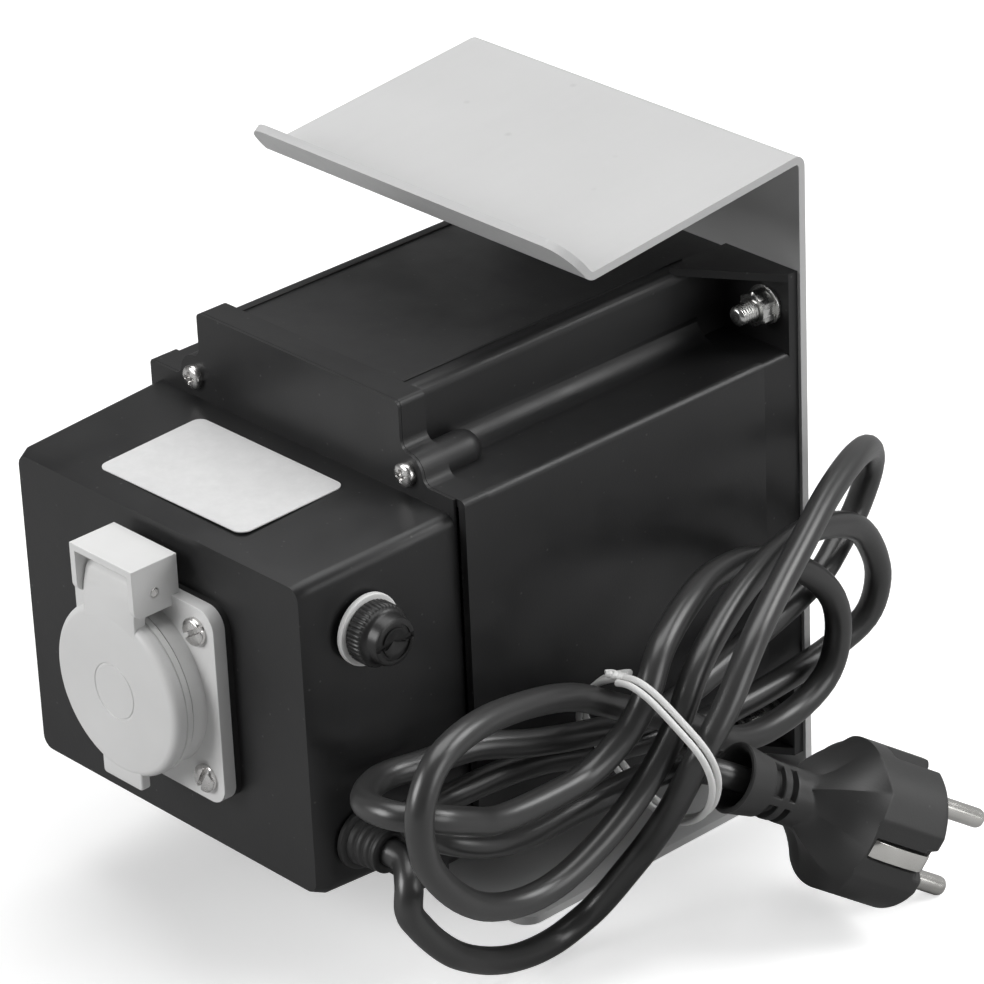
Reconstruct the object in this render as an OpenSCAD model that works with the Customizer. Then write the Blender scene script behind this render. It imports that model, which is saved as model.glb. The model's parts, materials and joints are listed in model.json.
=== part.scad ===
// Portable transformer: a black plastic body with a coil inside, hung in a bent sheet steel
// carrying bracket, with a covered socket outlet, a fuse and a tied up mains lead.
// The origin lies at the middle of the base plate's underside, +X to the right, -Y to the front.

/* [Carrying bracket] */
// Width of the bent sheet
bracket_w = 110; // [108:1:130]
// Thickness of the sheet
sheet_t = 2; // [1.5:0.5:3]
// Depth of the base plate, front edge to the back face
base_depth = 97; // [90:1:130]
// Room for fingers between the body and the top plate's rear
hand_room = 29.8; // [26:0.1:45]
// Inside radius of the two rear bends
bend_r = 1; // [1:0.5:6]
// Inside radius of the bend before the lip
lip_bend_r = 1.5; // [1:0.5:3]
// Fall of the top plate towards the front, degrees
top_fall = 5.8; // [0:0.1:10]
// Depth of the top plate, back face to the lip's bend
top_depth = 68.6; // [60:0.1:90]
// Rise of the lip above the horizontal, degrees
lip_rise = 51; // [20:1:80]
// Length of the lip
lip_len = 10; // [8:0.5:16]
// Corner radius of the lip
lip_corner_r = 7.5; // [1:0.5:8]
// Corner radius of the base plate's front
base_corner_r = 5; // [1:0.5:10]

/* [Body] */
// Room between the base plate and the body
body_room = 5.6; // [4:0.1:12]
// Half width of the wings
wing_hw = 54.7; // [53.5:0.1:54.8]
// Half height of the wings
wing_hh = 45.4; // [44.5:0.1:45.5]
// Edge radius of the wings
wing_edge_r = 2; // [1:0.5:3]
// Half width of the raised middle
bulge_hw = 32.5; // [32:0.1:33]
// Half height of the raised middle
bulge_hh = 64; // [62:0.1:64.2]
// Edge radius of the raised middle
bulge_edge_r = 3; // [1:0.5:4]
// Radius of the hollow between the middle and the wings
hollow_r = 5.5; // [2:0.5:6]
// Depth of the body between its collars
body_depth = 88.7; // [84:0.1:90]
// Wall of the body
body_wall = 1.8; // [1.2:0.1:1.8]
// Half width of the collars' shoulders
shoulder_hw = 55; // [54:0.1:55.2]
// Half height of the collars' shoulders
shoulder_hh = 45.7; // [45:0.1:46.5]
// Half width of the front collar's raised part
crown_hw = 35.1; // [34:0.1:36]
// Half height of the front collar's raised part
crown_hh = 64.2; // [64:0.1:65]
// Depth of the front collar
collar_depth = 7.2; // [6:0.1:8]
// Depth of the rear collar
rear_collar_depth = 12.1; // [10:0.1:14]
// How far the rear collar stands in from the wings
rear_inset = 0.6; // [0.2:0.1:1.5]
// Thickness of the four rear lugs
lug_t = 3; // [2.5:0.5:3]

/* [Housing screws] */
// Sideways place of the four screws that hold the front box
screw_x = 37; // [36.5:0.1:37.5]
// Upward place of the four screws
screw_z = 47.1; // [46:0.1:47.5]
// Radius of the collar's ears round the screws
ear_r = 5.2; // [5:0.1:6]
// Radius of the hollows on both sides of an ear
ear_hollow_r = 2.5; // [1:0.5:3.5]
// Radius of the bosses behind the ears
boss_r = 4.6; // [4:0.1:5]
// Length of the bosses
boss_len = 13; // [12:0.5:20]
// Diameter of a screw's shank
screw_d = 3; // [2.5:0.1:3.2]
// Diameter of a screw's head
screw_head_d = 6; // [5:0.1:6.5]
// Height of a screw's head
screw_head_h = 2.2; // [1.5:0.1:2.5]
// Length of a screw's shank
screw_len = 15; // [12:0.5:17]

/* [Bracket bolts] */
// Spacing of the four bolts across
bolt_span_x = 93.6; // [92:0.1:94]
// Spacing of the four bolts upward
bolt_span_z = 110.8; // [110:0.1:112]
// Bolt diameter
bolt_d = 5; // [4:0.5:5]
// Nut width across flats
nut_af = 8; // [7:0.5:8]
// Nut height
nut_h = 4; // [3:0.5:5]
// Washer diameter
washer_d = 10; // [9:0.5:10]
// Washer thickness
washer_t = 1; // [0.8:0.1:1.2]
// Bolt head diameter
bolt_head_d = 9.5; // [8:0.5:10]
// Bolt head height
bolt_head_h = 2.7; // [2:0.1:3.5]
// Bolt length past the lug's washers
bolt_reach = 10.5; // [9:0.5:14]

/* [Front box] */
// Half width of the box at its front
box_front_hw = 50.3; // [49.5:0.1:51]
// Half height of the box at its front
box_front_hh = 40.1; // [39:0.1:41]
// How much narrower the box is at its front than at its back, each side
box_draft_x = 1.9; // [1:0.1:2.5]
// How much lower the box is at its front than at its back, top and bottom
box_draft_z = 1.7; // [1:0.1:2.5]
// Depth of the box
box_depth = 45; // [42:0.1:60]
// Wall of the box
box_wall = 2.5; // [2:0.1:3]
// Edge radius of the box
box_edge_r = 3; // [2:0.5:4]
// Thickness of the box's flange plate
box_flange_t = 0.8; // [0.6:0.1:2]
// Gap between the flange plate and the collar
seam = 0.1; // [0.1:0.1:0.5]

/* [Rating label] */
// Width of the bare label
label_w = 51; // [30:1:60]
// Depth of the bare label
label_l = 31; // [20:1:34]
// Corner radius of the label
label_r = 2.5; // [1:0.5:4]
// Thickness of the label
label_t = 0.3; // [0.2:0.1:0.5]
// Sideways place of the label
label_x = -2.4; // [-10:0.1:10]

/* [Socket outlet] */
// Side of the square flange
outlet_w = 50; // [49:0.5:51]
// Thickness of the flange
outlet_t = 3.5; // [3:0.5:4]
// Corner radius of the flange
outlet_r = 5; // [3:0.5:6]
// Spacing of the flange's screws
outlet_pitch = 38; // [38:0.1:39]
// Upward place of the outlet from the body's middle
outlet_z = 0.9; // [0:0.1:2]
// Thickness of the gasket
gasket_t = 1.5; // [1:0.5:2]
// Diameter of the part that passes into the box
well_d = 43; // [42.5:0.1:44]
// Diameter of the recess for a plug
recess_d = 39; // [38.5:0.1:39.2]
// Depth of the recess for a plug
recess_depth = 17.5; // [17:0.1:18]
// Spacing of the two pin holes
pin_pitch = 19; // [18.8:0.1:19.2]
// Diameter of a pin hole
pin_hole_d = 5.4; // [5.2:0.1:5.6]
// Diameter of the collar that the lid closes on
seat_d = 41.6; // [41.2:0.1:41.8]
// Height of that collar
seat_h = 4; // [3:0.5:4.5]
// Wall under the outlet's insert
insert_floor = 3; // [2:0.5:4]

/* [Outlet lid] */
// Diameter of the lid
lid_d = 42.6; // [42.4:0.1:43]
// Height of the lid's front above the flange
lid_rise = 9.9; // [9:0.1:10.5]
// Depth of the lid's edge
lid_edge = 5.6; // [5:0.1:5.6]
// Wall of the lid
lid_wall = 2; // [1.5:0.1:2.5]
// Edge radius of the lid
lid_edge_r = 1.8; // [1:0.1:1.9]
// Width of the lid's neck
neck_w = 18; // [15:0.5:18]
// Height of the pivot above the outlet's middle
pivot_z = 27.5; // [27:0.1:28]
// Height of the pivot above the flange
pivot_y = 4.6; // [4.5:0.1:5]
// Radius of the knuckle round the pivot
knuckle_r = 3.3; // [3:0.1:3.6]
// Diameter of the pivot pin
pivot_d = 2.5; // [2:0.1:2.6]
// Width of the hinge cover
cover_w = 22; // [21.5:0.5:24]
// Thickness of the cover's cheeks and roof
cover_t = 1.8; // [1.5:0.1:1.9]
// Width of the lift tab
tab_w = 14; // [10:1:16]
// Radius of the moulded ring on the lid
ring_r = 7; // [5:0.5:9]

/* [Fuse holder] */
// Place of the fuse along the box, from the box's front
fuse_y = 16.6; // [15:0.1:18]
// Upward place of the fuse from the body's middle
fuse_z = 24.4; // [22:0.1:26]
// Diameter of the fuse holder's body
fuse_body_d = 12; // [11:0.5:13]
// Length of the holder inside the box
fuse_body_len = 30; // [28:0.5:34]
// Diameter of the white ring washer
fuse_ring_d = 17.2; // [16.5:0.1:18]
// Diameter of the knurled cap
fuse_cap_d = 15; // [14:0.1:15.5]
// Length of the knurled part
fuse_knurl_len = 4.5; // [4:0.5:5.5]
// Diameter of the cap's nose
fuse_nose_d = 11.6; // [11:0.1:12.5]
// Length of the cap past its ring
fuse_cap_len = 8.5; // [8:0.1:11]
// Ribs round the cap
fuse_ribs = 30; // [20:1:40]

/* [Mains lead] */
// Diameter of the lead
cord_d = 6.6; // [6:0.1:6.6]
// Diameter of the gland
gland_d = 12.4; // [12:0.1:13]
// Place of the gland along the box, from the box's front
gland_y = 12.6; // [12:0.1:13.5]
// Length of the gland past the box
gland_out = 10.5; // [10:0.1:12]
// Length of the gland inside the box
gland_in = 11; // [9:0.5:14]
// Upward place of the gland from the body's middle, negative is down
gland_z = -28.1; // [-29:0.1:-27]
// Diameter of the tie's wire
tie_d = 1.6; // [1.2:0.1:1.6]
// Step of the tie from one turn to the next
tie_pitch = 2.1; // [2.1:0.1:2.4]

/* [Plug] */
// Diameter of the plug's round front
plug_d = 36.8; // [36:0.1:37]
// Length of the round front
plug_front_len = 17; // [16:0.5:18]
// Length of the grip
plug_grip_len = 20; // [18:0.5:26]
// Length of the sleeve
plug_sleeve_len = 13; // [12:0.5:16]
// Outer diameter of the sleeve's mouth
sleeve_mouth_d = 17; // [15:0.5:18]
// Outer diameter of the sleeve's neck
sleeve_neck_d = 13.6; // [12.6:0.1:14.5]
// Diameter of a pin
pin_d = 4.8; // [4.7:0.1:4.9]
// Length of a pin
pin_len = 19; // [18:0.1:20]

/* [Core and coil] */
// Width of the laminated core
core_w = 96; // [95:0.1:96]
// Depth of the laminated core
core_depth = 80; // [79:0.1:80]
// Height of the stack
stack_h = 78; // [70:1:80]
// Width of the middle leg
leg_w = 32; // [31:0.1:32]
// Width of a window
window_w = 16; // [15.5:0.1:16]
// Wall of the bobbin
bobbin_t = 1.2; // [1:0.1:1.5]
// Build of the primary winding
primary_t = 6; // [4:0.1:6.2]
// Build of the secondary winding
secondary_t = 5; // [4:0.1:5.2]

/* [Hidden] */
$fn = 64;
over = 1;
slack = 0.15;
fit = 0.05;
hull_fn = 32;
bend_steps = 10;

// Heights, from the floor to the body's middle and to the top plate's rear
roof_top = 65;
axis_h = sheet_t + body_room + roof_top;
bracket_h = axis_h + roof_top + hand_room;

// Places along Y, from the bracket's back face to the front
back_y = base_depth / 2;
plate_y = back_y - sheet_t;
rear_collar_y = plate_y - rear_collar_depth;
collar_back_y = rear_collar_y - body_depth;
collar_front_y = collar_back_y - collar_depth;
flange_back_y = collar_front_y - seam;
flange_front_y = flange_back_y - box_flange_t;
box_front_y = flange_back_y - box_depth;
gasket_y = box_front_y - gasket_t;
outlet_y = gasket_y - outlet_t;
lid_y = outlet_y - lid_rise;
outlet_h = axis_h + outlet_z;
box_back_hw = box_front_hw + box_draft_x;
box_back_hh = box_front_hh + box_draft_z;
box_edge_round = box_edge_r / 3;
side_x = box_front_hw + box_draft_x * fuse_y / box_depth;

// Rear pockets: the collar's rim stands a little above the wings
bolt_x = bolt_span_x / 2;
bolt_z = bolt_span_z / 2;
pocket_wall = 1.5;
roof_t = 2;
roof_reach = 19;
collar_corner_r = 1.5;
shell_back_wall = 3;
line_w = 0.6;
line_h = 0.3;
line_x = 27.8;

// The core sits in the wings' space and leaves the same play before and behind
core_y = (collar_back_y + rear_collar_y) / 2;
window_len = core_depth - leg_w;
coil_play = 0.3;
leg_cut = leg_w / 2;

// Outlet details
outlet_lip_t = 1.2;
outlet_screw_d = 3.5;
outlet_head_d = 6.8;
outlet_head_h = 2;
outlet_screw_len = 9;
slot_w = 1;
slot_depth = 1;
screw_turn = 35;
spring_gap = 5;
contact_d = 8;
contact_len = 14;
clip_t = 0.8;
clip_w = 6;
clip_len = 13;
seal_t = 1.2;
seal_w = 2.4;
ring_w = 0.5;
ring_h = 0.3;
tab_h = 2.6;
tab_reach = 2.4;
cover_h = 12.5;
cover_low = 5;
cover_brim = 1;
cover_cheek_r = 2.5;
neck_t = 4.4;
spring_wire = 0.8;

// Fuse details
fuse_washer_t = 1.2;
fuse_ring_t = 1.5;
fuse_nut_d = 17;
fuse_nut_t = 4;
fuse_wall = 2;
link_d = 5;
link_len = 20;
link_cap_len = 5;
rib_d = 0.7;
carrier_len = 8;
fuse_slot_w = 1.4;
fuse_slot_depth = 1;
fuse_base_y = box_front_y + fuse_y;
wall_gap = 0.5;
fuse_h = axis_h + fuse_z;
lug_len = 8;
lug_w = 4;
tag_t = 0.8;

// Terminal block and cut-out
block_w = 46;
block_h = 14;
block_depth = 16;
block_drop = 26;
ways = 4;
way_d = 5;
way_screw_d = 3.4;
rail_t = 2;
cutout_w = 10;
cutout_l = 18;
cutout_t = 4;

// Gland details
gland_lip_d = 15;
gland_lip_t = 2;
gland_tip_d = 10.6;
gland_h = axis_h + gland_z;
gland_base_y = box_front_y + gland_y;
gland_side_x = box_front_hw + box_draft_x * gland_y / box_depth;
gland_tip_x = gland_side_x + gland_out;
inlet_len = 26;
hex = 6;

// Lead: the route from the gland to the tie, the hank, and the last stretch to the plug
lead_route = [
    [gland_tip_x, gland_base_y, gland_h], [66.3, -94.3, 44.2], [70.8, -97.5, 41.2], [72, -98.9, 35.5],
    [72, -95.9, 30], [72, -91.2, 23.7], [71.8, -85.2, 17.6], [70.6, -76.6, 11.6], [69.6, -68, 7.4],
    [68.6, -59.4, 4.9], [67.8, -50.8, 4.1], [69, -44, 6.6], [71.5, -39.4, 11], [77, -34.5, 21],
    [81.5, -32.6, 28.5], [89, -33, 40], [97, -32, 56]];
hank_route = [
    [97, -32, 56], [98, -24, 66], [95, -12, 77], [90, 1, 83], [84, 16, 88], [77, 32, 92], [70, 48, 93],
    [62, 62, 88], [57, 68, 79], [55, 65, 68], [57, 56, 62], [59.5, 47, 58.5], [60.5, 34, 54.5],
    [62, 12, 50], [64, -12, 47],
    [64.8, -33, 51.2], [64, -52, 56], [62, -68, 61], [59, -81, 61], [58, -92, 62], [62.5, -101, 64],
    [70, -107.5, 66.2], [79.5, -107.5, 67.3], [85, -101, 66], [85.5, -92.5, 62],
    [84, -82, 57], [83, -66, 55],
    [82, -52, 55], [83, -41, 61], [84, -35, 69],
    [81, -27, 77], [75, -12, 81], [69, 3, 80], [65, 20, 75.5], [66.5, 35, 67], [68, 43, 57],
    [68.5, 44, 46], [68.5, 39, 36.5], [69, 25, 32], [71, 6, 35], [72, -14, 49],
    [72, -32, 60], [75, -49, 71], [80, -68, 79], [85, -87, 84], [88, -101, 83], [89.5, -108, 77],
    [90, -110, 68], [89, -106, 56], [88, -95, 43], [87, -82, 36], [87, -68, 35], [87, -53, 40],
    [87, -40, 48], [88, -30, 60],
    [86, -20, 72], [80, -2, 79], [74, 17, 81], [70, 34, 80], [67, 51, 73], [65.5, 59, 64], [64, 63, 53],
    [62.5, 60, 43], [60, 48, 37], [60, 28, 35], [60, 8, 35], [60, -10, 38],
    [59, -28, 41.2], [59.2, -44, 46], [59.4, -58, 48.5], [58.4, -72, 48.5],
    [59.3, -80, 49.5], [61.5, -88, 51.5],
    [68, -91.2, 51.5], [74, -87, 49.5], [76, -78, 45.5], [75, -66, 42], [74, -51, 41],
    [75, -39.5, 41.5], [79.5, -32, 44.5]];
tail_route = [
    [79.5, -32, 44.5], [85.5, -28.8, 47.5], [90.8, -25.5, 48.3], [94.5, -20.7, 46.3]];
lead_sides = 8;
hank_sides = 6;
steps = 2;
near_points = 4;

// Tie: an outline across the strands, in a plane leaned a little forward
tie_at = [76, -32.5, 55];
tie_lean = 15;
tie_turns = 2;
tie_steps = 3;
tie_outline = [
    [3, 18.3], [11, 18.5], [19.5, 12.3], [26, 5], [26.3, -4], [20, -15],
    [9, -22.5], [-2, -20.5], [-9.4, -13.7], [-14.2, -9.4], [-18, -3.5], [-10, 9.5]];

// Plug: the lead ends in its sleeve, and the lower pin's tip rests on the floor
plug_at = [95.3, -19.7, 45.6];
plug_turn = 69.2;
plug_dip = 31.6;
plug_roll = 1;
plug_len = plug_sleeve_len + plug_grip_len + plug_front_len;
plug_line = [cos(plug_dip) * cos(plug_turn), cos(plug_dip) * sin(plug_turn), -sin(plug_dip)];
sleeve_wall = 1.5;
sleeve_bore_len = 9;
sleeve_slot_w = 2;
sleeve_slots = 4;
sleeve_slot_turn = 45;
plug_flat = 33.6;
guide_w = 5.5;
guide_depth = 2.4;
grip_w = 33;
grip_h = 27;
grip_slice = 1;
earth_hole_d = 5;
earth_hole_y = 10;
plug_clip_w = 4.5;
plug_clip_len = 15;
plug_clip_t = 0.8;
pin_root = 8;
pin_root_d = 4;
pin_neck = 0.4;

// Curves through the route's points

// A smooth curve through b and c, with a and d as the points before and after
function curve(a, b, c, d, s) =
    (2 * b + (c - a) * s + (2 * a - 5 * b + 4 * c - d) * s * s + (3 * b - a - 3 * c + d) * s * s * s) / 2;

// The curve through a route, with so many steps from one point to the next
function smooth(route, count) = concat(
    [for (i = [0 : len(route) - 2], k = [0 : count - 1])
        curve(route[max(i - 1, 0)], route[i], route[i + 1], route[min(i + 2, len(route) - 1)], k / count)],
    [route[len(route) - 1]]);

// The points of a list from one place to another
function part_of(list, first, last) = [for (i = [first : last]) list[i]];

function unit(v) = v / norm(v);

// The direction along a path at each of its points
function headings(path) = [for (i = [0 : len(path) - 1])
    unit(path[min(i + 1, len(path) - 1)] - path[max(i - 1, 0)])];

// A sideways direction at each point, carried along the path without twist
function sides_along(heads) = [for (
    i = 0, side = unit(cross(heads[0], [0, 0, 1] + [0.1, 0.2, 0]));
    i < len(heads);
    i = i + 1, side = i < len(heads) ? unit(side - heads[i] * (side * heads[i])) : side) side];

// The least distance between two stretches of a path, less the thickness
function least_gap(path, apart, thick) =
    min([for (i = [0 : len(path) - 1 - apart], j = [i + apart : len(path) - 1])
        norm(path[i] - path[j])]) - thick;

// A round bar along a path, as one closed skin with flat ends; heads and across say how it is turned
module skin(path, heads, across, d, count) {
    last = len(path) - 1;
    points = [for (i = [0 : last], k = [0 : count - 1])
        let (turn = 360 * k / count)
        path[i] + d / 2 * (cos(turn) * across[i] + sin(turn) * cross(heads[i], across[i]))];
    wall = [for (i = [0 : last - 1], k = [0 : count - 1])
        let (a = i * count + k, b = i * count + (k + 1) % count)
        each [[a, b + count, b], [a, a + count, b + count]]];
    ends = concat(
        [for (k = [1 : count - 2]) [0, k, k + 1]],
        [for (k = [1 : count - 2]) [last * count, last * count + k + 1, last * count + k]]);
    polyhedron(points = points, faces = concat(wall, ends));
}

// Small helpers

module at_corners(dx, dz) {
    for (sx = [-1, 1], sz = [-1, 1])
        translate([sx * dx, 0, sz * dz])
            children();
}

// Turns a flat outline into a slab that lies across Y, from the given front to the given back
module slab(front, back) {
    translate([0, back, 0])
        rotate([90, 0, 0])
            linear_extrude(height = back - front)
                children();
}

// A round bar along Y, from the given front to the given back
module bar_y(d, front, back) {
    translate([0, back, 0])
        rotate([90, 0, 0])
            cylinder(d = d, h = back - front);
}

// A round bar along X, from the given left to the given right
module bar_x(d, left, right) {
    translate([left, 0, 0])
        rotate([0, 90, 0])
            cylinder(d = d, h = right - left);
}

module round_rect(w, h, r) {
    union() {
        square([w - 2 * r, h], center = true);
        square([w, h - 2 * r], center = true);
        for (sx = [-1, 1], sz = [-1, 1])
            translate([sx * (w / 2 - r), sz * (h / 2 - r)])
                circle(r = r);
    }
}

// Bracket: one sheet, bent three times, traced along its outer face from the base plate's front edge

// What a rounded corner leaves over, to be cut away
module corner_waste(r) {
    translate([-r, 0, -over])
        linear_extrude(height = sheet_t + 2 * over)
            difference() {
                translate([0, -over])
                    square([r + over, r + over]);
                translate([0, r])
                    circle(r = r);
            }
}

outer_bend_r = bend_r + sheet_t;
base_run = base_depth - outer_bend_r;
back_run = bracket_h - outer_bend_r - outer_bend_r * tan((90 + top_fall) / 2);
lip_turn = top_fall + lip_rise;
top_run = top_depth / cos(top_fall) - outer_bend_r * tan((90 + top_fall) / 2)
    - lip_bend_r * tan(lip_turn / 2);

// Each move is a straight run, the turn after it in degrees, and that bend's inside radius
moves = [
    [base_run, 90, bend_r], [back_run, 90 + top_fall, bend_r],
    [top_run, -lip_turn, lip_bend_r], [lip_len, 0, 0]];

function ahead(angle) = [cos(angle), sin(angle)];
function inward(angle) = [-sin(angle), cos(angle)];

// The places and headings along the outer face from one move on
function trace(i, place, angle) = i == len(moves) ? [] :
    let (
        stop = place + moves[i][0] * ahead(angle),
        turn = moves[i][1],
        r = turn > 0 ? sheet_t + moves[i][2] : -moves[i][2],
        middle = stop + r * inward(angle))
    concat([[place, angle], [stop, angle]],
        turn == 0 ? [] : [for (k = [1 : bend_steps - 1])
            [middle - r * inward(angle + turn * k / bend_steps), angle + turn * k / bend_steps]],
        trace(i + 1, middle - r * inward(angle + turn), angle + turn));

sheet_line = trace(0, [-back_y, 0], 0);
lip_end = sheet_line[len(sheet_line) - 1];

module carry_bracket() {
    color("lightgray")
        difference() {
            translate([-bracket_w / 2, 0, 0])
                rotate([90, 0, 90])
                    linear_extrude(height = bracket_w)
                        polygon(concat(
                            [for (i = [0 : len(sheet_line) - 1]) sheet_line[i][0]],
                            [for (i = [len(sheet_line) - 1 : -1 : 0])
                                sheet_line[i][0] + sheet_t * inward(sheet_line[i][1])]));
            for (side = [0, 1])
                mirror([side, 0, 0]) {
                    translate([bracket_w / 2, -back_y, 0])
                        corner_waste(base_corner_r);
                    translate([bracket_w / 2, lip_end[0][0], lip_end[0][1]])
                        rotate([lip_end[1], 0, 0])
                            mirror([0, 1, 0])
                                corner_waste(lip_corner_r);
                }
            translate([0, 0, axis_h])
                at_corners(bolt_x, bolt_z)
                    bar_y(bolt_d + 2 * slack, plate_y - over, back_y + over);
        }
}

// Bolts run forward from the back plate through the lugs
lug_front_y = plate_y - lug_t;
nut_y = lug_front_y - washer_t - nut_h;

module bracket_bolts() {
    color("silver")
        translate([0, 0, axis_h])
            at_corners(bolt_x, bolt_z) {
                bar_y(bolt_d, lug_front_y - bolt_reach, back_y);
                bar_y(bolt_head_d, back_y, back_y + bolt_head_h);
            }
}

module bracket_washers() {
    color("silver")
        translate([0, 0, axis_h])
            at_corners(bolt_x, bolt_z)
                difference() {
                    bar_y(washer_d, lug_front_y - washer_t, lug_front_y);
                    bar_y(bolt_d + 2 * slack, lug_front_y - washer_t - over, lug_front_y + over);
                }
}

module bracket_nuts() {
    color("silver")
        translate([0, 0, axis_h])
            at_corners(bolt_x, bolt_z)
                difference() {
                    slab(nut_y, nut_y + nut_h)
                        circle(d = nut_af / cos(30), $fn = hex);
                    bar_y(bolt_d, nut_y - over, nut_y + nut_h + over);
                }
}

// Body

// Middles of the hollows that lead from an ear up to the crown and out to the shoulder
upper_x = crown_hw + ear_hollow_r;
upper_z = screw_z + sqrt(pow(ear_r + ear_hollow_r, 2) - pow(upper_x - screw_x, 2));
outer_z = shoulder_hh + ear_hollow_r;
outer_x = screw_x + sqrt(pow(ear_r + ear_hollow_r, 2) - pow(outer_z - screw_z, 2));

module collar_outline() {
    difference() {
        union() {
            round_rect(2 * crown_hw, 2 * crown_hh, collar_corner_r);
            round_rect(2 * shoulder_hw, 2 * shoulder_hh, collar_corner_r);
            for (sx = [-1, 1], sz = [-1, 1])
                translate([sx * screw_x, sz * screw_z])
                    circle(r = ear_r);
            for (sx = [0, 1], sz = [0, 1])
                mirror([sx, 0])
                    mirror([0, sz])
                        polygon([[crown_hw - ear_hollow_r, screw_z], [crown_hw - ear_hollow_r, upper_z],
                            [upper_x, upper_z], [screw_x, screw_z], [outer_x, outer_z],
                            [outer_x, shoulder_hh - ear_hollow_r], [screw_x, shoulder_hh - ear_hollow_r]]);
        }
        for (sx = [-1, 1], sz = [-1, 1]) {
            translate([sx * upper_x, sz * upper_z])
                circle(r = ear_hollow_r);
            translate([sx * outer_x, sz * outer_z])
                circle(r = ear_hollow_r);
        }
    }
}

module body_outline() {
    difference() {
        union() {
            round_rect(2 * bulge_hw, 2 * bulge_hh, bulge_edge_r);
            round_rect(2 * wing_hw, 2 * wing_hh, wing_edge_r);
            square([2 * (bulge_hw + hollow_r), 2 * (wing_hh + hollow_r)], center = true);
        }
        for (sx = [-1, 1], sz = [-1, 1])
            translate([sx * (bulge_hw + hollow_r), sz * (wing_hh + hollow_r)])
                circle(r = hollow_r);
    }
}

module body_space() {
    union() {
        square([2 * (bulge_hw - body_wall), 2 * (bulge_hh - body_wall)], center = true);
        square([2 * (wing_hw - body_wall), 2 * (wing_hh - body_wall)], center = true);
    }
}

// One rear corner: a lug behind a pocket, under a slab whose front edge runs aslant
rear_hw = wing_hw - rear_inset;
rear_hh = wing_hh - rear_inset;

module rear_lug() {
    slab(lug_front_y, plate_y)
        polygon([[bulge_hw - body_wall, rear_hh - pocket_wall], [rear_hw, rear_hh - pocket_wall],
            [rear_hw, roof_top], [bulge_hw - body_wall, roof_top]]);
    translate([0, 0, roof_top - roof_t])
        linear_extrude(height = roof_t)
            polygon([[bulge_hw - body_wall, plate_y], [rear_hw, plate_y],
                [rear_hw, lug_front_y], [bulge_hw - body_wall, plate_y - roof_reach]]);
}

module core_housing() {
    color("dimgray")
        translate([0, 0, axis_h])
            difference() {
                union() {
                    slab(collar_front_y, collar_back_y)
                        collar_outline();
                    slab(collar_back_y, rear_collar_y)
                        body_outline();
                    slab(rear_collar_y, plate_y) {
                        round_rect(2 * bulge_hw, 2 * bulge_hh, bulge_edge_r);
                        round_rect(2 * rear_hw, 2 * rear_hh, collar_corner_r);
                    }
                    for (sx = [0, 1], sz = [0, 1])
                        mirror([sx, 0, 0])
                            mirror([0, 0, sz])
                                rear_lug();
                    at_corners(screw_x, screw_z) {
                        bar_y(2 * boss_r, collar_back_y, collar_back_y + boss_len - boss_r);
                        translate([0, collar_back_y + boss_len - boss_r, 0])
                            sphere(r = boss_r);
                    }
                    for (sx = [-1, 1])
                        translate([sx * line_x - line_w / 2, collar_back_y, bulge_hh])
                            cube([line_w, body_depth, line_h]);
                }
                slab(collar_front_y - over, plate_y - shell_back_wall)
                    body_space();
                at_corners(screw_x, screw_z)
                    bar_y(screw_d + 2 * fit, collar_front_y - over, flange_front_y + screw_len + slack);
                at_corners(bolt_x, bolt_z)
                    bar_y(bolt_d + 2 * slack, lug_front_y - over, plate_y + over);
            }
}

// Core and coil

core_front_y = core_y - core_depth / 2;
core_back_y = core_y + core_depth / 2;

module core_e_stack() {
    color("slategray")
        translate([0, 0, axis_h])
            difference() {
                slab(core_front_y + leg_cut, core_back_y)
                    square([core_w, stack_h], center = true);
                for (side = [-1, 1])
                    translate([side * (leg_cut + window_w / 2) - window_w / 2,
                            core_front_y + leg_cut - over, -stack_h / 2 - over])
                        cube([window_w, window_len + over, stack_h + 2 * over]);
            }
}

module core_i_stack() {
    color("slategray")
        translate([0, 0, axis_h])
            slab(core_front_y, core_front_y + leg_cut)
                square([core_w, stack_h], center = true);
}

// A frame round the middle leg: its inside and its wall, over a length along Y
module sleeve(inside, wall, front, back) {
    slab(front, back)
        difference() {
            square([leg_w + 2 * (inside + wall), stack_h + 2 * (inside + wall)], center = true);
            square([leg_w + 2 * inside, stack_h + 2 * inside], center = true);
        }
}

coil_front_y = core_front_y + leg_cut + coil_play;
coil_back_y = core_back_y - leg_cut - coil_play;
coil_t = primary_t + secondary_t + bobbin_t;

module bobbin() {
    color("ivory")
        translate([0, 0, axis_h]) {
            sleeve(coil_play, bobbin_t, coil_front_y, coil_back_y);
            sleeve(coil_play + bobbin_t, coil_t, coil_front_y, coil_front_y + bobbin_t);
            sleeve(coil_play + bobbin_t, coil_t, coil_back_y - bobbin_t, coil_back_y);
        }
}

module primary_winding() {
    color("darkorange")
        translate([0, 0, axis_h])
            sleeve(coil_play + bobbin_t, primary_t, coil_front_y + bobbin_t, coil_back_y - bobbin_t);
}

module secondary_winding() {
    color("orange")
        translate([0, 0, axis_h])
            sleeve(coil_play + bobbin_t + primary_t, secondary_t,
                coil_front_y + bobbin_t, coil_back_y - bobbin_t);
}

coil_top = stack_h / 2 + coil_play + bobbin_t + primary_t + secondary_t;

module thermal_cutout() {
    color("white")
        translate([-cutout_w / 2, core_y - cutout_l / 2, axis_h + coil_top])
            cube([cutout_w, cutout_l, cutout_t]);
}

// Terminal block on a rail that crosses the body's mouth
rail_y = core_front_y - rail_t;

module block_rail() {
    color("silver")
        translate([-core_w / 2, rail_y, axis_h - block_drop - block_h / 2])
            cube([core_w, rail_t, block_h]);
}

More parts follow.
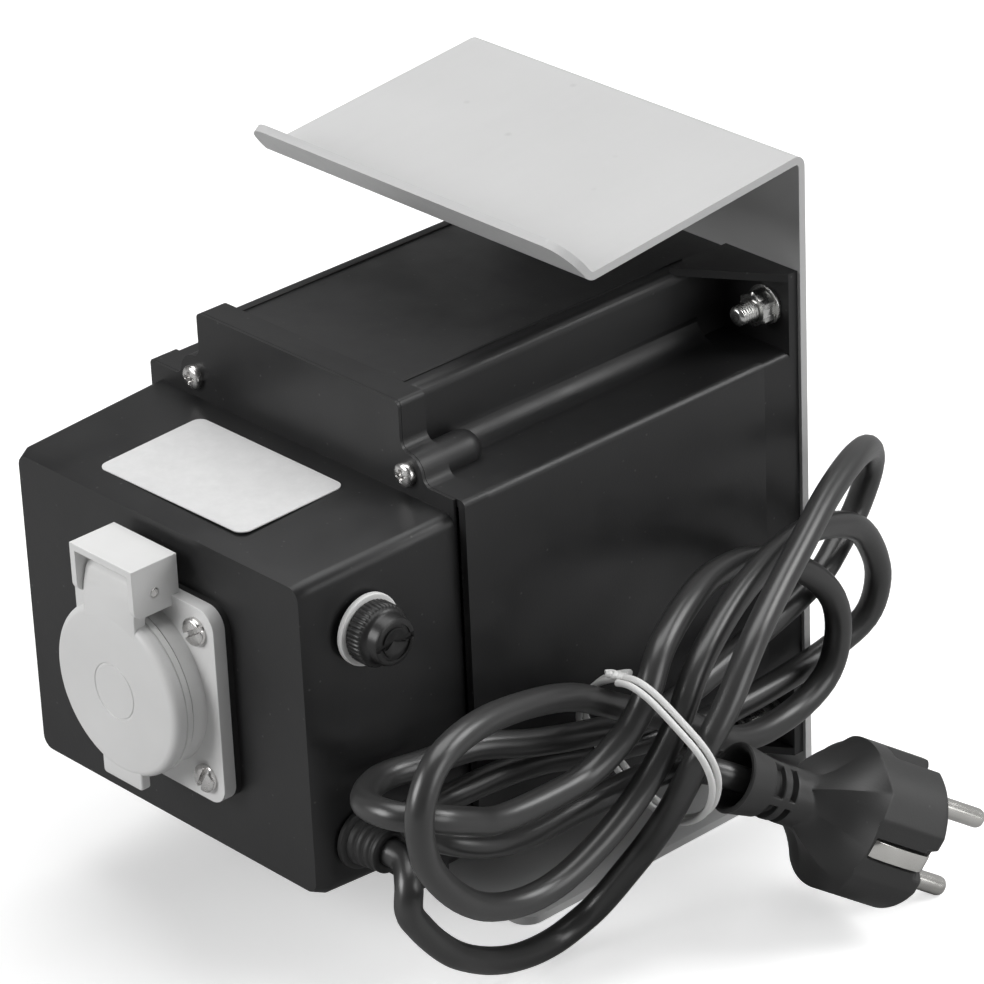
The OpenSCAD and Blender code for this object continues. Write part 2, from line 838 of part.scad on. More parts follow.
module terminal_block() {
    color("white")
        translate([0, 0, axis_h - block_drop])
            difference() {
                translate([-block_w / 2, rail_y - block_depth, -block_h / 2])
                    cube([block_w, block_depth, block_h]);
                for (i = [0 : ways - 1])
                    translate([block_w * ((i + 0.5) / ways - 0.5), rail_y - block_depth / 2, 0]) {
                        cylinder(d = way_d, h = block_h + 2 * over, center = true);
                        bar_y(way_screw_d + 2 * slack, -block_depth / 2 - over, 0);
                    }
            }
}

module terminal_screws() {
    color("silver")
        for (i = [0 : ways - 1])
            translate([block_w * ((i + 0.5) / ways - 0.5), rail_y - block_depth / 2, axis_h - block_drop])
                bar_y(way_screw_d, way_d / 2 - block_depth / 2, 0);
}

// Front box

// A slice across the tapered box at a place along Y, shrunk all round
module box_slice(shrink, y) {
    t = (y - box_front_y) / box_depth;
    slab(y, y + over)
        round_rect(2 * (box_front_hw + box_draft_x * t - shrink),
            2 * (box_front_hh + box_draft_z * t - shrink), box_edge_r, $fn = hull_fn);
}

// The box's outer shape, or its inside when shrunk by a wall
module box_shape(shrink, front, back) {
    hull() {
        box_slice(shrink, back - over);
        box_slice(shrink, front + box_edge_r);
        box_slice(shrink + box_edge_round, front);
    }
}

module box_flange_outline() {
    intersection() {
        collar_outline();
        square([2 * box_back_hw, 2 * crown_hh], center = true);
    }
}

module terminal_housing() {
    color("dimgray")
        translate([0, 0, axis_h])
            difference() {
                union() {
                    box_shape(0, box_front_y, flange_back_y);
                    slab(flange_front_y, flange_back_y)
                        box_flange_outline();
                }
                box_shape(box_wall, box_front_y + box_wall, flange_back_y + over);
                at_corners(screw_x, screw_z)
                    bar_y(screw_d + 2 * slack, flange_front_y - over, flange_back_y + over);
                translate([0, 0, outlet_z]) {
                    bar_y(well_d + 2 * slack, box_front_y - over, box_front_y + box_wall + over);
                    at_corners(outlet_pitch / 2, outlet_pitch / 2)
                        bar_y(outlet_screw_d + 2 * fit, box_front_y - over, box_front_y + box_wall + over);
                }
                translate([0, fuse_base_y, fuse_z])
                    bar_x(fuse_body_d + 2 * slack, box_front_hw - 2 * box_wall, box_back_hw + over);
                translate([0, gland_base_y, gland_z])
                    bar_x(gland_d, box_front_hw - 2 * box_wall, box_back_hw + over);
            }
}

// A pan head with a cross recess, on a shank that runs backwards
module pan_screw(head_d, head_h, shank_d, shank_len) {
    difference() {
        union() {
            bar_y(shank_d, 0, shank_len);
            rotate([90, 0, 0])
                rotate_extrude()
                    intersection() {
                        square([head_d / 2, head_h]);
                        translate([0, head_h - head_d])
                            circle(r = head_d);
                    }
        }
        for (turn = [0, 90])
            rotate([0, turn, 0])
                translate([-head_d / 3, -head_h - over, -slot_w / 2])
                    cube([2 * head_d / 3, over + slot_depth, slot_w]);
    }
}

module housing_screws() {
    color("silver")
        translate([0, flange_front_y, axis_h])
            at_corners(screw_x, screw_z)
                pan_screw(screw_head_d, screw_head_h, screw_d, screw_len);
}

// The box's top falls a little to the front, and the label lies on it
label_y = (box_front_y + flange_front_y) / 2;
label_tilt = atan((box_back_hh - box_front_hh) / box_depth);

module rating_label() {
    color("white")
        translate([label_x, label_y, axis_h + (box_front_hh + box_back_hh) / 2])
            rotate([label_tilt, 0, 0])
                linear_extrude(height = label_t)
                    round_rect(label_w, label_l, label_r);
}

// Socket outlet

module outlet_gasket() {
    color("black")
        translate([0, 0, outlet_h])
            difference() {
                slab(gasket_y, box_front_y)
                    round_rect(outlet_w, outlet_w, outlet_r);
                bar_y(well_d + 2 * slack, gasket_y - over, box_front_y + over);
                at_corners(outlet_pitch / 2, outlet_pitch / 2)
                    bar_y(outlet_screw_d + 2 * slack, gasket_y - over, box_front_y + over);
            }
}

well_back_y = outlet_y - seat_h + recess_depth + insert_floor + outlet_lip_t;

// The cover's back stands on the flange's top edge, flush with the flange's face
cover_front_y = lid_y - cover_brim;
cover_back_y = gasket_y - outlet_lip_t;
cover_z = pivot_z - cover_low;

module cheek_outline() {
    union() {
        translate([cover_front_y + cover_cheek_r, cover_z])
            square([cover_back_y - cover_front_y - cover_cheek_r, cover_h]);
        translate([cover_front_y, cover_z + cover_cheek_r])
            square([cover_back_y - cover_front_y, cover_h - cover_cheek_r]);
        translate([cover_front_y + cover_cheek_r, cover_z + cover_cheek_r])
            circle(r = cover_cheek_r);
    }
}

module hinge_cover() {
    for (side = [0, 1])
        mirror([side, 0, 0])
            translate([cover_w / 2 - cover_t, 0, 0])
                rotate([90, 0, 90])
                    linear_extrude(height = cover_t)
                        cheek_outline();
    translate([-cover_w / 2, cover_front_y, cover_z + cover_h - cover_t])
        cube([cover_w, cover_back_y - cover_front_y, cover_t]);
    translate([-cover_w / 2, outlet_y, cover_z])
        cube([cover_w, cover_back_y - outlet_y, cover_h]);
}

module outlet_flange() {
    color("gainsboro")
        translate([0, 0, outlet_h])
            difference() {
                union() {
                    slab(outlet_y, gasket_y)
                        round_rect(outlet_w, outlet_w, outlet_r);
                    bar_y(seat_d, outlet_y - seat_h, outlet_y + over);
                    bar_y(well_d, outlet_y, well_back_y);
                    hinge_cover();
                }
                bar_y(recess_d + outlet_lip_t, outlet_y - seat_h - over, well_back_y - outlet_lip_t);
                at_corners(outlet_pitch / 2, outlet_pitch / 2)
                    bar_y(outlet_screw_d + 2 * slack, outlet_y - over, gasket_y + over);
                for (side = [-1, 1])
                    translate([side * pin_pitch / 2, 0, 0])
                        bar_y(pin_hole_d, well_back_y - outlet_lip_t - over, well_back_y + over);
                translate([0, outlet_y - pivot_y, pivot_z])
                    bar_x(pivot_d, -cover_w / 2 - over, cover_w / 2 + over);
            }
}

module outlet_insert() {
    color("whitesmoke")
        translate([0, outlet_y - seat_h, outlet_h])
            difference() {
                bar_y(recess_d + outlet_lip_t - 2 * fit, 0, recess_depth + insert_floor);
                bar_y(recess_d, -over, recess_depth);
                for (side = [-1, 1])
                    translate([side * pin_pitch / 2, 0, 0])
                        bar_y(pin_hole_d, recess_depth - over, recess_depth + insert_floor + over);
            }
}

module outlet_contacts() {
    color("goldenrod")
        translate([0, well_back_y, outlet_h])
            for (side = [-1, 1])
                translate([side * pin_pitch / 2, 0, 0])
                    difference() {
                        bar_y(contact_d, 0, contact_len);
                        bar_y(pin_hole_d, -over, contact_len - over);
                    }
}

module outlet_earth_clips() {
    color("goldenrod")
        translate([0, outlet_y - seat_h + recess_depth - clip_len, outlet_h])
            for (side = [0, 1])
                mirror([0, 0, side])
                    translate([-clip_w / 2, 0, recess_d / 2 - 2 * clip_t])
                        cube([clip_w, clip_len, clip_t]);
}

module outlet_screws() {
    color("silver")
        translate([0, outlet_y, outlet_h])
            at_corners(outlet_pitch / 2, outlet_pitch / 2)
                difference() {
                    union() {
                        bar_y(outlet_screw_d, 0, outlet_screw_len);
                        bar_y(outlet_head_d, -outlet_head_h, 0);
                    }
                    rotate([0, screw_turn, 0])
                        translate([-outlet_head_d, -outlet_head_h - over, -slot_w / 2])
                            cube([2 * outlet_head_d, over + slot_depth, slot_w]);
                }
}

// Lid: a round cap over the outlet's collar, on a neck that turns about the pivot
lid_back_y = lid_y + lid_edge;

module outlet_lid() {
    color("gainsboro")
        translate([0, 0, outlet_h])
            difference() {
                union() {
                    translate([0, lid_back_y, 0])
                        rotate([90, 0, 0])
                            rotate_extrude()
                                union() {
                                    square([lid_d / 2 - lid_edge_r, lid_edge]);
                                    square([lid_d / 2, lid_edge - lid_edge_r]);
                                    translate([lid_d / 2 - lid_edge_r, lid_edge - lid_edge_r])
                                        circle(r = lid_edge_r);
                                }
                    translate([-neck_w / 2, lid_y, 0])
                        cube([neck_w, neck_t, pivot_z]);
                    translate([0, outlet_y - pivot_y, pivot_z])
                        bar_x(2 * knuckle_r, -neck_w / 2, neck_w / 2);
                    translate([-tab_w / 2, lid_back_y - tab_h, -lid_d / 2 - tab_reach])
                        cube([tab_w, tab_h, lid_d / 2]);
                    translate([0, lid_y, 0])
                        rotate([90, 0, 0])
                            rotate_extrude()
                                translate([ring_r - ring_w, -ring_h])
                                    square([ring_w, 2 * ring_h]);
                }
                bar_y(lid_d - 2 * lid_wall, lid_y + lid_wall, lid_back_y + over);
                translate([0, outlet_y - pivot_y, pivot_z])
                    bar_x(pivot_d + 2 * fit, -neck_w / 2 - over, neck_w / 2 + over);
                translate([0, outlet_y - pivot_y, pivot_z])
                    bar_x(2 * (knuckle_r - spring_wire / 2), -spring_gap / 2, spring_gap / 2);
            }
}

module lid_seal() {
    color("black")
        translate([0, 0, outlet_h])
            difference() {
                bar_y(lid_d - 2 * lid_wall, lid_y + lid_wall, lid_y + lid_wall + seal_t);
                bar_y(lid_d - 2 * lid_wall - 2 * seal_w, lid_y + lid_wall - over,
                    lid_y + lid_wall + seal_t + over);
            }
}

module lid_pivot_pin() {
    color("silver")
        translate([0, outlet_y - pivot_y, outlet_h + pivot_z])
            bar_x(pivot_d, -cover_w / 2, cover_w / 2);
}

// The spring is drawn as its outer shape, a short sleeve on the pin
module lid_spring() {
    color("silver")
        translate([0, outlet_y - pivot_y, outlet_h + pivot_z])
            difference() {
                bar_x(pivot_d + 2 * (fit + spring_wire), slack - spring_gap / 2, spring_gap / 2 - slack);
                bar_x(pivot_d + 2 * fit, -spring_gap, spring_gap);
            }
}

// Fuse holder, along X on the box's right side

module fuse_place() {
    translate([side_x, fuse_base_y, fuse_h])
        children();
}

fuse_face = fuse_ring_t + fuse_washer_t;

module fuse_gasket() {
    color("black")
        fuse_place()
            difference() {
                bar_x(fuse_ring_d - fuse_wall, wall_gap, fuse_washer_t);
                bar_x(fuse_body_d + 2 * fit, -over, fuse_washer_t + over);
            }
}

module fuse_ring() {
    color("white")
        fuse_place()
            difference() {
                bar_x(fuse_ring_d, fuse_washer_t, fuse_face);
                bar_x(fuse_body_d + 2 * fit, -over, fuse_face + over);
            }
}

module fuse_holder() {
    color("dimgray")
        fuse_place()
            difference() {
                bar_x(fuse_body_d, -fuse_body_len, fuse_face);
                bar_x(fuse_body_d - fuse_wall, fuse_wall - fuse_body_len, fuse_face + over);
            }
}

module fuse_nut() {
    color("dimgray")
        fuse_place()
            difference() {
                translate([-box_wall - wall_gap - fuse_nut_t, 0, 0])
                    rotate([0, 90, 0])
                        cylinder(d = fuse_nut_d, h = fuse_nut_t, $fn = hex);
                bar_x(fuse_body_d, -box_wall - wall_gap - fuse_nut_t - over, 0);
            }
}

module fuse_tags() {
    color("goldenrod")
        fuse_place() {
            translate([-fuse_body_len - lug_len, -lug_w / 2, -tag_t / 2])
                cube([lug_len, lug_w, tag_t]);
            translate([-fuse_body_len + fuse_wall, -lug_w / 2, -fuse_body_d / 2 - lug_len])
                cube([tag_t, lug_w, lug_len]);
        }
}

carrier_d = fuse_body_d - fuse_wall - 2 * slack;
module fuse_cap() {
    color("black")
        fuse_place()
            translate([fuse_face, 0, 0])
                difference() {
                    union() {
                        bar_x(fuse_cap_d - rib_d, fit, fuse_knurl_len);
                        for (i = [0 : fuse_ribs - 1])
                            rotate([360 * i / fuse_ribs, 0, 0])
                                translate([0, (fuse_cap_d - rib_d) / 2, 0])
                                    bar_x(rib_d, fit, fuse_knurl_len);
                        translate([fuse_knurl_len, 0, 0])
                            rotate([0, 90, 0])
                                cylinder(d1 = fuse_cap_d - 2 * rib_d, d2 = fuse_nose_d - rib_d, h = rib_d);
                        bar_x(fuse_nose_d, fuse_knurl_len + rib_d, fuse_cap_len);
                        bar_x(carrier_d, -carrier_len, fit);
                    }
                    translate([fuse_cap_len - fuse_slot_depth, -fuse_nose_d, -fuse_slot_w / 2])
                        cube([fuse_slot_depth + over, 2 * fuse_nose_d, fuse_slot_w]);
                    bar_x(link_d + 2 * fit, -carrier_len - over, link_cap_len - carrier_len);
                }
}

module fuse_link() {
    color("silver")
        fuse_place()
            bar_x(link_d, fuse_face - carrier_len + link_cap_len - link_len,
                fuse_face - carrier_len + link_cap_len);
}

// Gland and lead

module cable_gland() {
    color("black")
        translate([0, gland_base_y, gland_h])
            difference() {
                union() {
                    translate([gland_side_x + gland_lip_t, 0, 0])
                        rotate([0, 90, 0])
                            cylinder(d1 = gland_d, d2 = gland_tip_d, h = gland_out - gland_lip_t);
                    bar_x(gland_lip_d, gland_side_x + wall_gap, gland_side_x + gland_lip_t);
                    bar_x(gland_d - 2 * fit, gland_side_x - gland_in, gland_side_x + gland_lip_t);
                }
                bar_x(cord_d, gland_side_x - gland_in - over, gland_tip_x + over);
            }
}

module gland_clip() {
    color("dimgray")
        translate([gland_side_x - gland_in, gland_base_y, gland_h])
            difference() {
                rotate([0, 90, 0])
                    cylinder(d = gland_lip_d, h = fuse_nut_t, $fn = hex);
                bar_x(gland_d - 2 * fit, -over, fuse_nut_t + over);
            }
}

module lead_inlet() {
    color("black")
        translate([0, gland_base_y, gland_h])
            bar_x(cord_d, gland_tip_x - inlet_len, gland_tip_x);
}

// The whole lead is one curve, cut in three where the hank begins and ends. It stops square against
// the end of the sleeve's bore
lead_path = smooth(concat(lead_route, part_of(hank_route, 1, len(hank_route) - 1),
    part_of(tail_route, 1, len(tail_route) - 1), [plug_at + sleeve_bore_len * plug_line]), steps);
lead_heads = concat([[1, 0, 0]], part_of(headings(lead_path), 1, len(lead_path) - 2), [plug_line]);
lead_across = sides_along(lead_heads);
hank_first = steps * (len(lead_route) - 1);
hank_last = hank_first + steps * (len(hank_route) - 1);

module lead_piece(first, last, count) {
    color("black")
        skin(part_of(lead_path, first, last), part_of(lead_heads, first, last),
            part_of(lead_across, first, last), cord_d, count);
}

module lead_stretch() {
    lead_piece(0, hank_first, lead_sides);
}

echo("Least gap of the hank to itself",
    least_gap(part_of(lead_path, hank_first, hank_last), near_points * steps, cord_d));

module lead_hank() {
    lead_piece(hank_first, hank_last, hank_sides);
}

module lead_tail() {
    lead_piece(hank_last, len(lead_path) - 1, lead_sides);
}

// Tie: a smooth closed outline, gone round more than once with a small step between turns

function tie_flat(i) =
    let (count = len(tie_outline), k = floor(i / tie_steps))
    curve(tie_outline[(k + count - 1) % count], tie_outline[k % count],
        tie_outline[(k + 1) % count], tie_outline[(k + 2) % count], i / tie_steps - k);

tie_turn_steps = len(tie_outline) * tie_steps;
tie_path = [for (i = [0 : tie_turns * tie_turn_steps])
    let (flat = tie_flat(i), along = tie_pitch * (i / tie_turn_steps - tie_turns / 2))
    tie_at + [flat[0],
        along * cos(tie_lean) - flat[1] * sin(tie_lean),
        along * sin(tie_lean) + flat[1] * cos(tie_lean)]];
echo("Least gap of the tie to itself", least_gap(tie_path, tie_turn_steps - tie_steps, tie_d));

module twist_tie() {
    color("white")
        skin(tie_path, headings(tie_path), sides_along(headings(tie_path)), tie_d, hank_sides);
}

// Plug, made along Z from the sleeve's mouth to the front, then laid in place

module plug_place() {
    translate(plug_at)
        rotate([0, 90 + plug_dip, plug_turn])
            rotate([0, 0, plug_roll])
                children();
}

module plug_body() {
    color("black")
        plug_place()
            difference() {
                union() {
                    difference() {
                        cylinder(d1 = sleeve_mouth_d, d2 = sleeve_neck_d, h = plug_sleeve_len);
                        for (i = [0 : sleeve_slots - 1])
                            rotate([0, 0, sleeve_slot_turn + 360 * i / sleeve_slots])
                                translate([sleeve_neck_d / 2 - sleeve_wall,
                                        -sleeve_slot_w, plug_sleeve_len / 2])
                                    cube([sleeve_mouth_d, 2 * sleeve_slot_w, sleeve_slot_w]);
                    }
                    hull() {
                        translate([0, 0, plug_sleeve_len])
                            cylinder(d = sleeve_neck_d, h = grip_slice, $fn = hull_fn);
                        translate([0, 0, plug_sleeve_len + plug_grip_len - 2 * grip_slice])
                            linear_extrude(height = grip_slice)
                                square([grip_w, grip_h], center = true);
                    }
                    translate([0, 0, plug_len - plug_front_len - 2 * grip_slice])
                        intersection() {
                            cylinder(d = plug_d, h = plug_front_len + 2 * grip_slice);
                            translate([-plug_d / 2, -plug_flat / 2, 0])
                                cube([plug_d, plug_flat, plug_front_len + 2 * grip_slice]);
                        }
                }
                translate([0, 0, -over])
                    cylinder(d = sleeve_neck_d - sleeve_wall, h = over + sleeve_bore_len);
                for (side = [-1, 1]) {
                    translate([side * pin_pitch / 2, 0, plug_len - pin_root])
                        cylinder(d = pin_root_d + 2 * fit, h = pin_root + over);
                    translate([side * plug_d / 2 - guide_depth, -guide_w / 2, plug_len - plug_front_len])
                        cube([2 * guide_depth, guide_w, plug_front_len + over]);
                }
                translate([0, -earth_hole_y, plug_len - plug_front_len])
                    cylinder(d = earth_hole_d, h = plug_front_len + over);
            }
}

module plug_pins() {
    color("silver")
        plug_place()
            for (side = [-1, 1])
                translate([side * pin_pitch / 2, 0, plug_len]) {
                    translate([0, 0, -pin_root])
                        cylinder(d = pin_root_d, h = pin_root + pin_neck);
                    translate([0, 0, pin_neck])
                        cylinder(d = pin_d, h = pin_len - pin_neck - pin_d / 2);
                    translate([0, 0, pin_len - pin_d / 2])
                        sphere(d = pin_d);
                }
}

module plug_earth_clips() {
    color("silver")
        plug_place()
            for (side = [0, 1])
                mirror([0, side, 0])
                    translate([-plug_clip_w / 2, plug_flat / 2, plug_len - plug_clip_len])
                        cube([plug_clip_w, plug_clip_t, plug_clip_len]);
}

carry_bracket();
bracket_bolts();
bracket_washers();
bracket_nuts();
core_housing();
terminal_housing();
housing_screws();
rating_label();
core_e_stack();
core_i_stack();
bobbin();
primary_winding();
secondary_winding();
thermal_cutout();
terminal_block();
terminal_screws();
block_rail();
outlet_gasket();
outlet_flange();
outlet_insert();
outlet_contacts();
outlet_earth_clips();
outlet_screws();
outlet_lid();
lid_seal();
lid_pivot_pin();
lid_spring();
fuse_holder();
fuse_gasket();
fuse_ring();
fuse_nut();
fuse_tags();
fuse_cap();
fuse_link();
cable_gland();
gland_clip();
lead_inlet();
lead_stretch();
lead_hank();
lead_tail();
twist_tie();
plug_body();
plug_pins();
plug_earth_clips();
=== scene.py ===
"""Looks for the portable transformer: a black case hung in a bent sheet steel bracket.

Lengths are written in millimetres in the part's own frame and become metres in the meshes.
"""
import json
import bmesh
import bpy
import numpy as np
from mathutils import Matrix


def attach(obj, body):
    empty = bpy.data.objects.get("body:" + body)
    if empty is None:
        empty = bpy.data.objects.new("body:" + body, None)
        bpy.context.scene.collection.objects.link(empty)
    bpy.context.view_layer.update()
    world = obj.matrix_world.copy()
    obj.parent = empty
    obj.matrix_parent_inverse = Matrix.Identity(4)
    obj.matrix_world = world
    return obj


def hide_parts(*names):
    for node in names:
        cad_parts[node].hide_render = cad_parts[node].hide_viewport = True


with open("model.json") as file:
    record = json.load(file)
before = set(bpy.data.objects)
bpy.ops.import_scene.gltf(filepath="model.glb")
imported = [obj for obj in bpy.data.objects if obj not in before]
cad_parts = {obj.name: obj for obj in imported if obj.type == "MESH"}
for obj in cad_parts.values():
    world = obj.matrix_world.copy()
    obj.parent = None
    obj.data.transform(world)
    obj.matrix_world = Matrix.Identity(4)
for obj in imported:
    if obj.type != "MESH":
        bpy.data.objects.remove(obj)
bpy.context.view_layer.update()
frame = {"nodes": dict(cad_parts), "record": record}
MM = 0.001
TURN = 2 * np.pi


# Camera, at the photograph's place and angle

def aim_camera():
    """Camera on a line 48 degrees round and 27 degrees up from the front, rolled by 2.5 degrees."""
    round_by, up_by, roll = np.radians((48.07, 27.27, -2.53))
    back = np.array([np.cos(up_by) * np.sin(round_by), -np.cos(up_by) * np.cos(round_by), np.sin(up_by)])
    right = np.array([np.cos(round_by), np.sin(round_by), 0.0])
    up = np.cross(back, right)
    x_axis = np.cos(roll) * right + np.sin(roll) * up
    y_axis = np.cos(roll) * up - np.sin(roll) * right
    camera = bpy.data.cameras.new("photo_camera")
    camera.sensor_width = 36
    camera.lens = 36 * 4985.4 / 984
    camera.shift_x = -2.5 / 984
    camera.shift_y = -7.7 / 984
    camera.clip_end = 20
    holder = bpy.data.objects.new("photo_camera", camera)
    bpy.context.collection.objects.link(holder)
    place = np.array([10.1, -12.0, 88.3]) + 1182.7 * back
    rows = np.column_stack([x_axis, y_axis, back, place * MM])
    holder.matrix_world = Matrix(rows.tolist() + [[0, 0, 0, 1]])
    bpy.context.scene.camera = holder


aim_camera()


# Meshes from whole arrays

def grid_shell(points, wrap=True, ends=True):
    """Corners and faces of a grid of points, rows by columns; a row closes on itself when wrapped,
    and the first and last rows close with one flat face each."""
    rows, cols = points.shape[:2]
    number = np.arange(rows * cols).reshape(rows, cols)
    beside = np.roll(number, -1, axis=1)
    if not wrap:
        number, beside = number[:, :-1], beside[:, :-1]
    quads = np.stack([number[:-1], beside[:-1], beside[1:], number[1:]], axis=-1).reshape(-1, 4)
    faces = quads.tolist()
    if ends and wrap:
        faces.append(number[0, ::-1].tolist())
        faces.append(number[-1].tolist())
    return points.reshape(-1, 3), faces


def join_shells(shells):
    """Several shells as one list of corners and one list of faces."""
    corners, faces, start = [], [], 0
    for points, own in shells:
        corners.append(points)
        faces += [[start + k for k in face] for face in own]
        start += len(points)
    return np.concatenate(corners), faces


def make_piece(name, shells, material, body="case", replaces=(), smooth_angle=35, bevel=0.0):
    """One object at the origin from its shells, smooth up to an angle, riding on a CAD body."""
    corners, faces = join_shells(shells)
    mesh = bpy.data.meshes.new(name)
    mesh.from_pydata((corners * MM).tolist(), [], faces)
    mesh.validate()
    mesh.update()
    work = bmesh.new()
    work.from_mesh(mesh)
    bmesh.ops.remove_doubles(work, verts=work.verts, dist=1e-6)
    bmesh.ops.recalc_face_normals(work, faces=work.faces)
    work.to_mesh(mesh)
    work.free()
    return finish_piece(name, mesh, material, body, replaces, smooth_angle, bevel)


def finish_piece(name, mesh, material, body, replaces, smooth_angle, bevel):
    """Puts a mesh in the scene with its material, shading, bevel and body."""
    obj = bpy.data.objects.new(name, mesh)
    bpy.context.collection.objects.link(obj)
    mesh.materials.clear()
    mesh.materials.append(material)
    mesh.shade_smooth()
    mesh.set_sharp_from_angle(angle=np.radians(smooth_angle))
    if bevel:
        edge = obj.modifiers.new("soft_edges", "BEVEL")
        edge.width = bevel * MM
        edge.segments = 3
        edge.limit_method = "ANGLE"
        edge.angle_limit = np.radians(30)
        edge.harden_normals = True
    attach(obj, body)
    if replaces:
        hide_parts(*replaces)
    return obj


def softened(name, node, material, width, body="case"):
    """A copy of a CAD node with its corners merged, its flat faces made whole and its edges rounded."""
    mesh = frame["nodes"][node].data.copy()
    mesh.name = name
    work = bmesh.new()
    work.from_mesh(mesh)
    bmesh.ops.remove_doubles(work, verts=work.verts, dist=2e-6)
    bmesh.ops.dissolve_limit(work, angle_limit=np.radians(0.6), verts=work.verts, edges=work.edges)
    work.to_mesh(mesh)
    work.free()
    return finish_piece(name, mesh, material, body, (node,), 30, width)


def moved(points, at=(0, 0, 0), axes=None):
    """Points turned onto three given axes, the columns of a matrix, and then shifted."""
    if axes is not None:
        points = points @ np.asarray(axes, float).T
    return points + np.asarray(at, float)


# Axes that lay a shape made along Z along another direction: columns are its X, Y and Z
TO_FRONT = np.array([[1, 0, 0], [0, 0, -1], [0, 1, 0]], float)
TO_BACK = np.array([[-1, 0, 0], [0, 0, 1], [0, 1, 0]], float)
TO_RIGHT = np.array([[0, 0, 1], [1, 0, 0], [0, 1, 0]], float)


def turned(profile, sides=64, radius_change=None):
    """A profile of radius and height carried round Z; radius_change takes radius, height and angle as
    arrays and gives the radius to use."""
    profile = np.asarray(profile, float)
    angle = np.arange(sides) * TURN / sides
    radius = np.repeat(profile[:, :1], sides, axis=1)
    height = np.repeat(profile[:, 1:], sides, axis=1)
    if radius_change:
        radius = radius_change(radius, height, angle[None, :])
    return np.stack([radius * np.cos(angle), radius * np.sin(angle), height], axis=-1)


def rounded(corner_list, r, steps=5):
    """A profile with its inner corners rounded: each is replaced by points on a curve that starts and
    ends r away from it."""
    corner_list = np.asarray(corner_list, float)
    out = [corner_list[:1]]
    share = np.linspace(0, 1, steps)[:, None]
    for before, here, after in zip(corner_list[:-2], corner_list[1:-1], corner_list[2:]):
        first, second = before - here, after - here
        reach = min(r, 0.45 * np.linalg.norm(first), 0.45 * np.linalg.norm(second))
        start = here + first / np.linalg.norm(first) * reach
        stop = here + second / np.linalg.norm(second) * reach
        out.append((1 - share) ** 2 * start + 2 * share * (1 - share) * here + share ** 2 * stop)
    out.append(corner_list[-1:])
    return np.concatenate(out)


def box_outline(w, h, r, steps=8):
    """A rounded rectangle as points: four quarter circles joined by its straight sides."""
    quarter = np.linspace(0, np.pi / 2, steps)
    parts = []
    for k, (sx, sy) in enumerate(((1, 1), (-1, 1), (-1, -1), (1, -1))):
        angle = quarter + k * np.pi / 2
        across = sx * (w / 2 - r) + r * np.cos(angle)
        upward = sy * (h / 2 - r) + r * np.sin(angle)
        parts.append(np.column_stack([across, upward]))
    return np.concatenate(parts)


def cushion_block(w, h, depth, r, edge, steps=5):
    """A rounded rectangle carried along Z, drawn in at both ends along quarter circles of the edge's
    radius."""
    turn = np.linspace(0, np.pi / 2, steps)
    inset = np.concatenate([edge * (1 - np.sin(turn)), edge * (1 - np.cos(turn))])
    height = np.concatenate([edge * (1 - np.cos(turn)), depth - edge * (1 - np.sin(turn))])
    rows = []
    for i, z in zip(inset, height):
        flat = box_outline(w - 2 * i, h - 2 * i, max(r - i, 0.05))
        rows.append(np.column_stack([flat, np.full(len(flat), z)]))
    return np.stack(rows)


def smoothstep(x, low, high):
    """0 below low, 1 above high, and a smooth rise between."""
    t = np.clip((x - low) / (high - low), 0, 1)
    return t * t * (3 - 2 * t)


# Materials

def node(tree, kind, at=(0, 0), **inputs):
    """One shader node with its inputs set by name."""
    made = tree.nodes.new(kind)
    made.location = at
    for key, value in inputs.items():
        made.inputs[key.replace("_", " ")].default_value = value
    return made


def start_material(name):
    """An empty material with its shader and Object coordinates."""
    material = bpy.data.materials.new(name)
    material.use_nodes = True
    tree = material.node_tree
    shader = tree.nodes["Principled BSDF"]
    place = tree.nodes.new("ShaderNodeTexCoord").outputs["Object"]
    return material, tree, shader, place


def shade_between(tree, factor, low, high, low_at=0.3, high_at=0.7):
    """A colour that runs from low to high as the factor runs between two values."""
    ramp = tree.nodes.new("ShaderNodeValToRGB")
    ramp.color_ramp.elements[0].position = low_at
    ramp.color_ramp.elements[1].position = high_at
    ramp.color_ramp.elements[0].color = (*low, 1)
    ramp.color_ramp.elements[1].color = (*high, 1)
    tree.links.new(factor, ramp.inputs["Fac"])
    return ramp.outputs["Color"]


def spread(tree, factor, low, high):
    """A number that runs from low to high as the factor runs from 0.3 to 0.7."""
    ranged = node(tree, "ShaderNodeMapRange", From_Min=0.3, From_Max=0.7, To_Min=low, To_Max=high)
    tree.links.new(factor, ranged.inputs["Value"])
    return ranged.outputs["Result"]


def noise(tree, place, scale, detail=4.0, rough=0.5):
    """Soft random patches at a scale per metre."""
    made = node(tree, "ShaderNodeTexNoise", Scale=scale, Detail=detail, Roughness=rough)
    tree.links.new(place, made.inputs["Vector"])
    return made.outputs["Fac"]


def raise_by(tree, shader, height, strength, distance, under=None):
    """A bump from a height, laid over an earlier bump when one is given."""
    bump = node(tree, "ShaderNodeBump", Strength=strength, Distance=distance)
    tree.links.new(height, bump.inputs["Height"])
    if under is not None:
        tree.links.new(under, bump.inputs["Normal"])
    tree.links.new(bump.outputs["Normal"], shader.inputs["Normal"])
    return bump.outputs["Normal"]


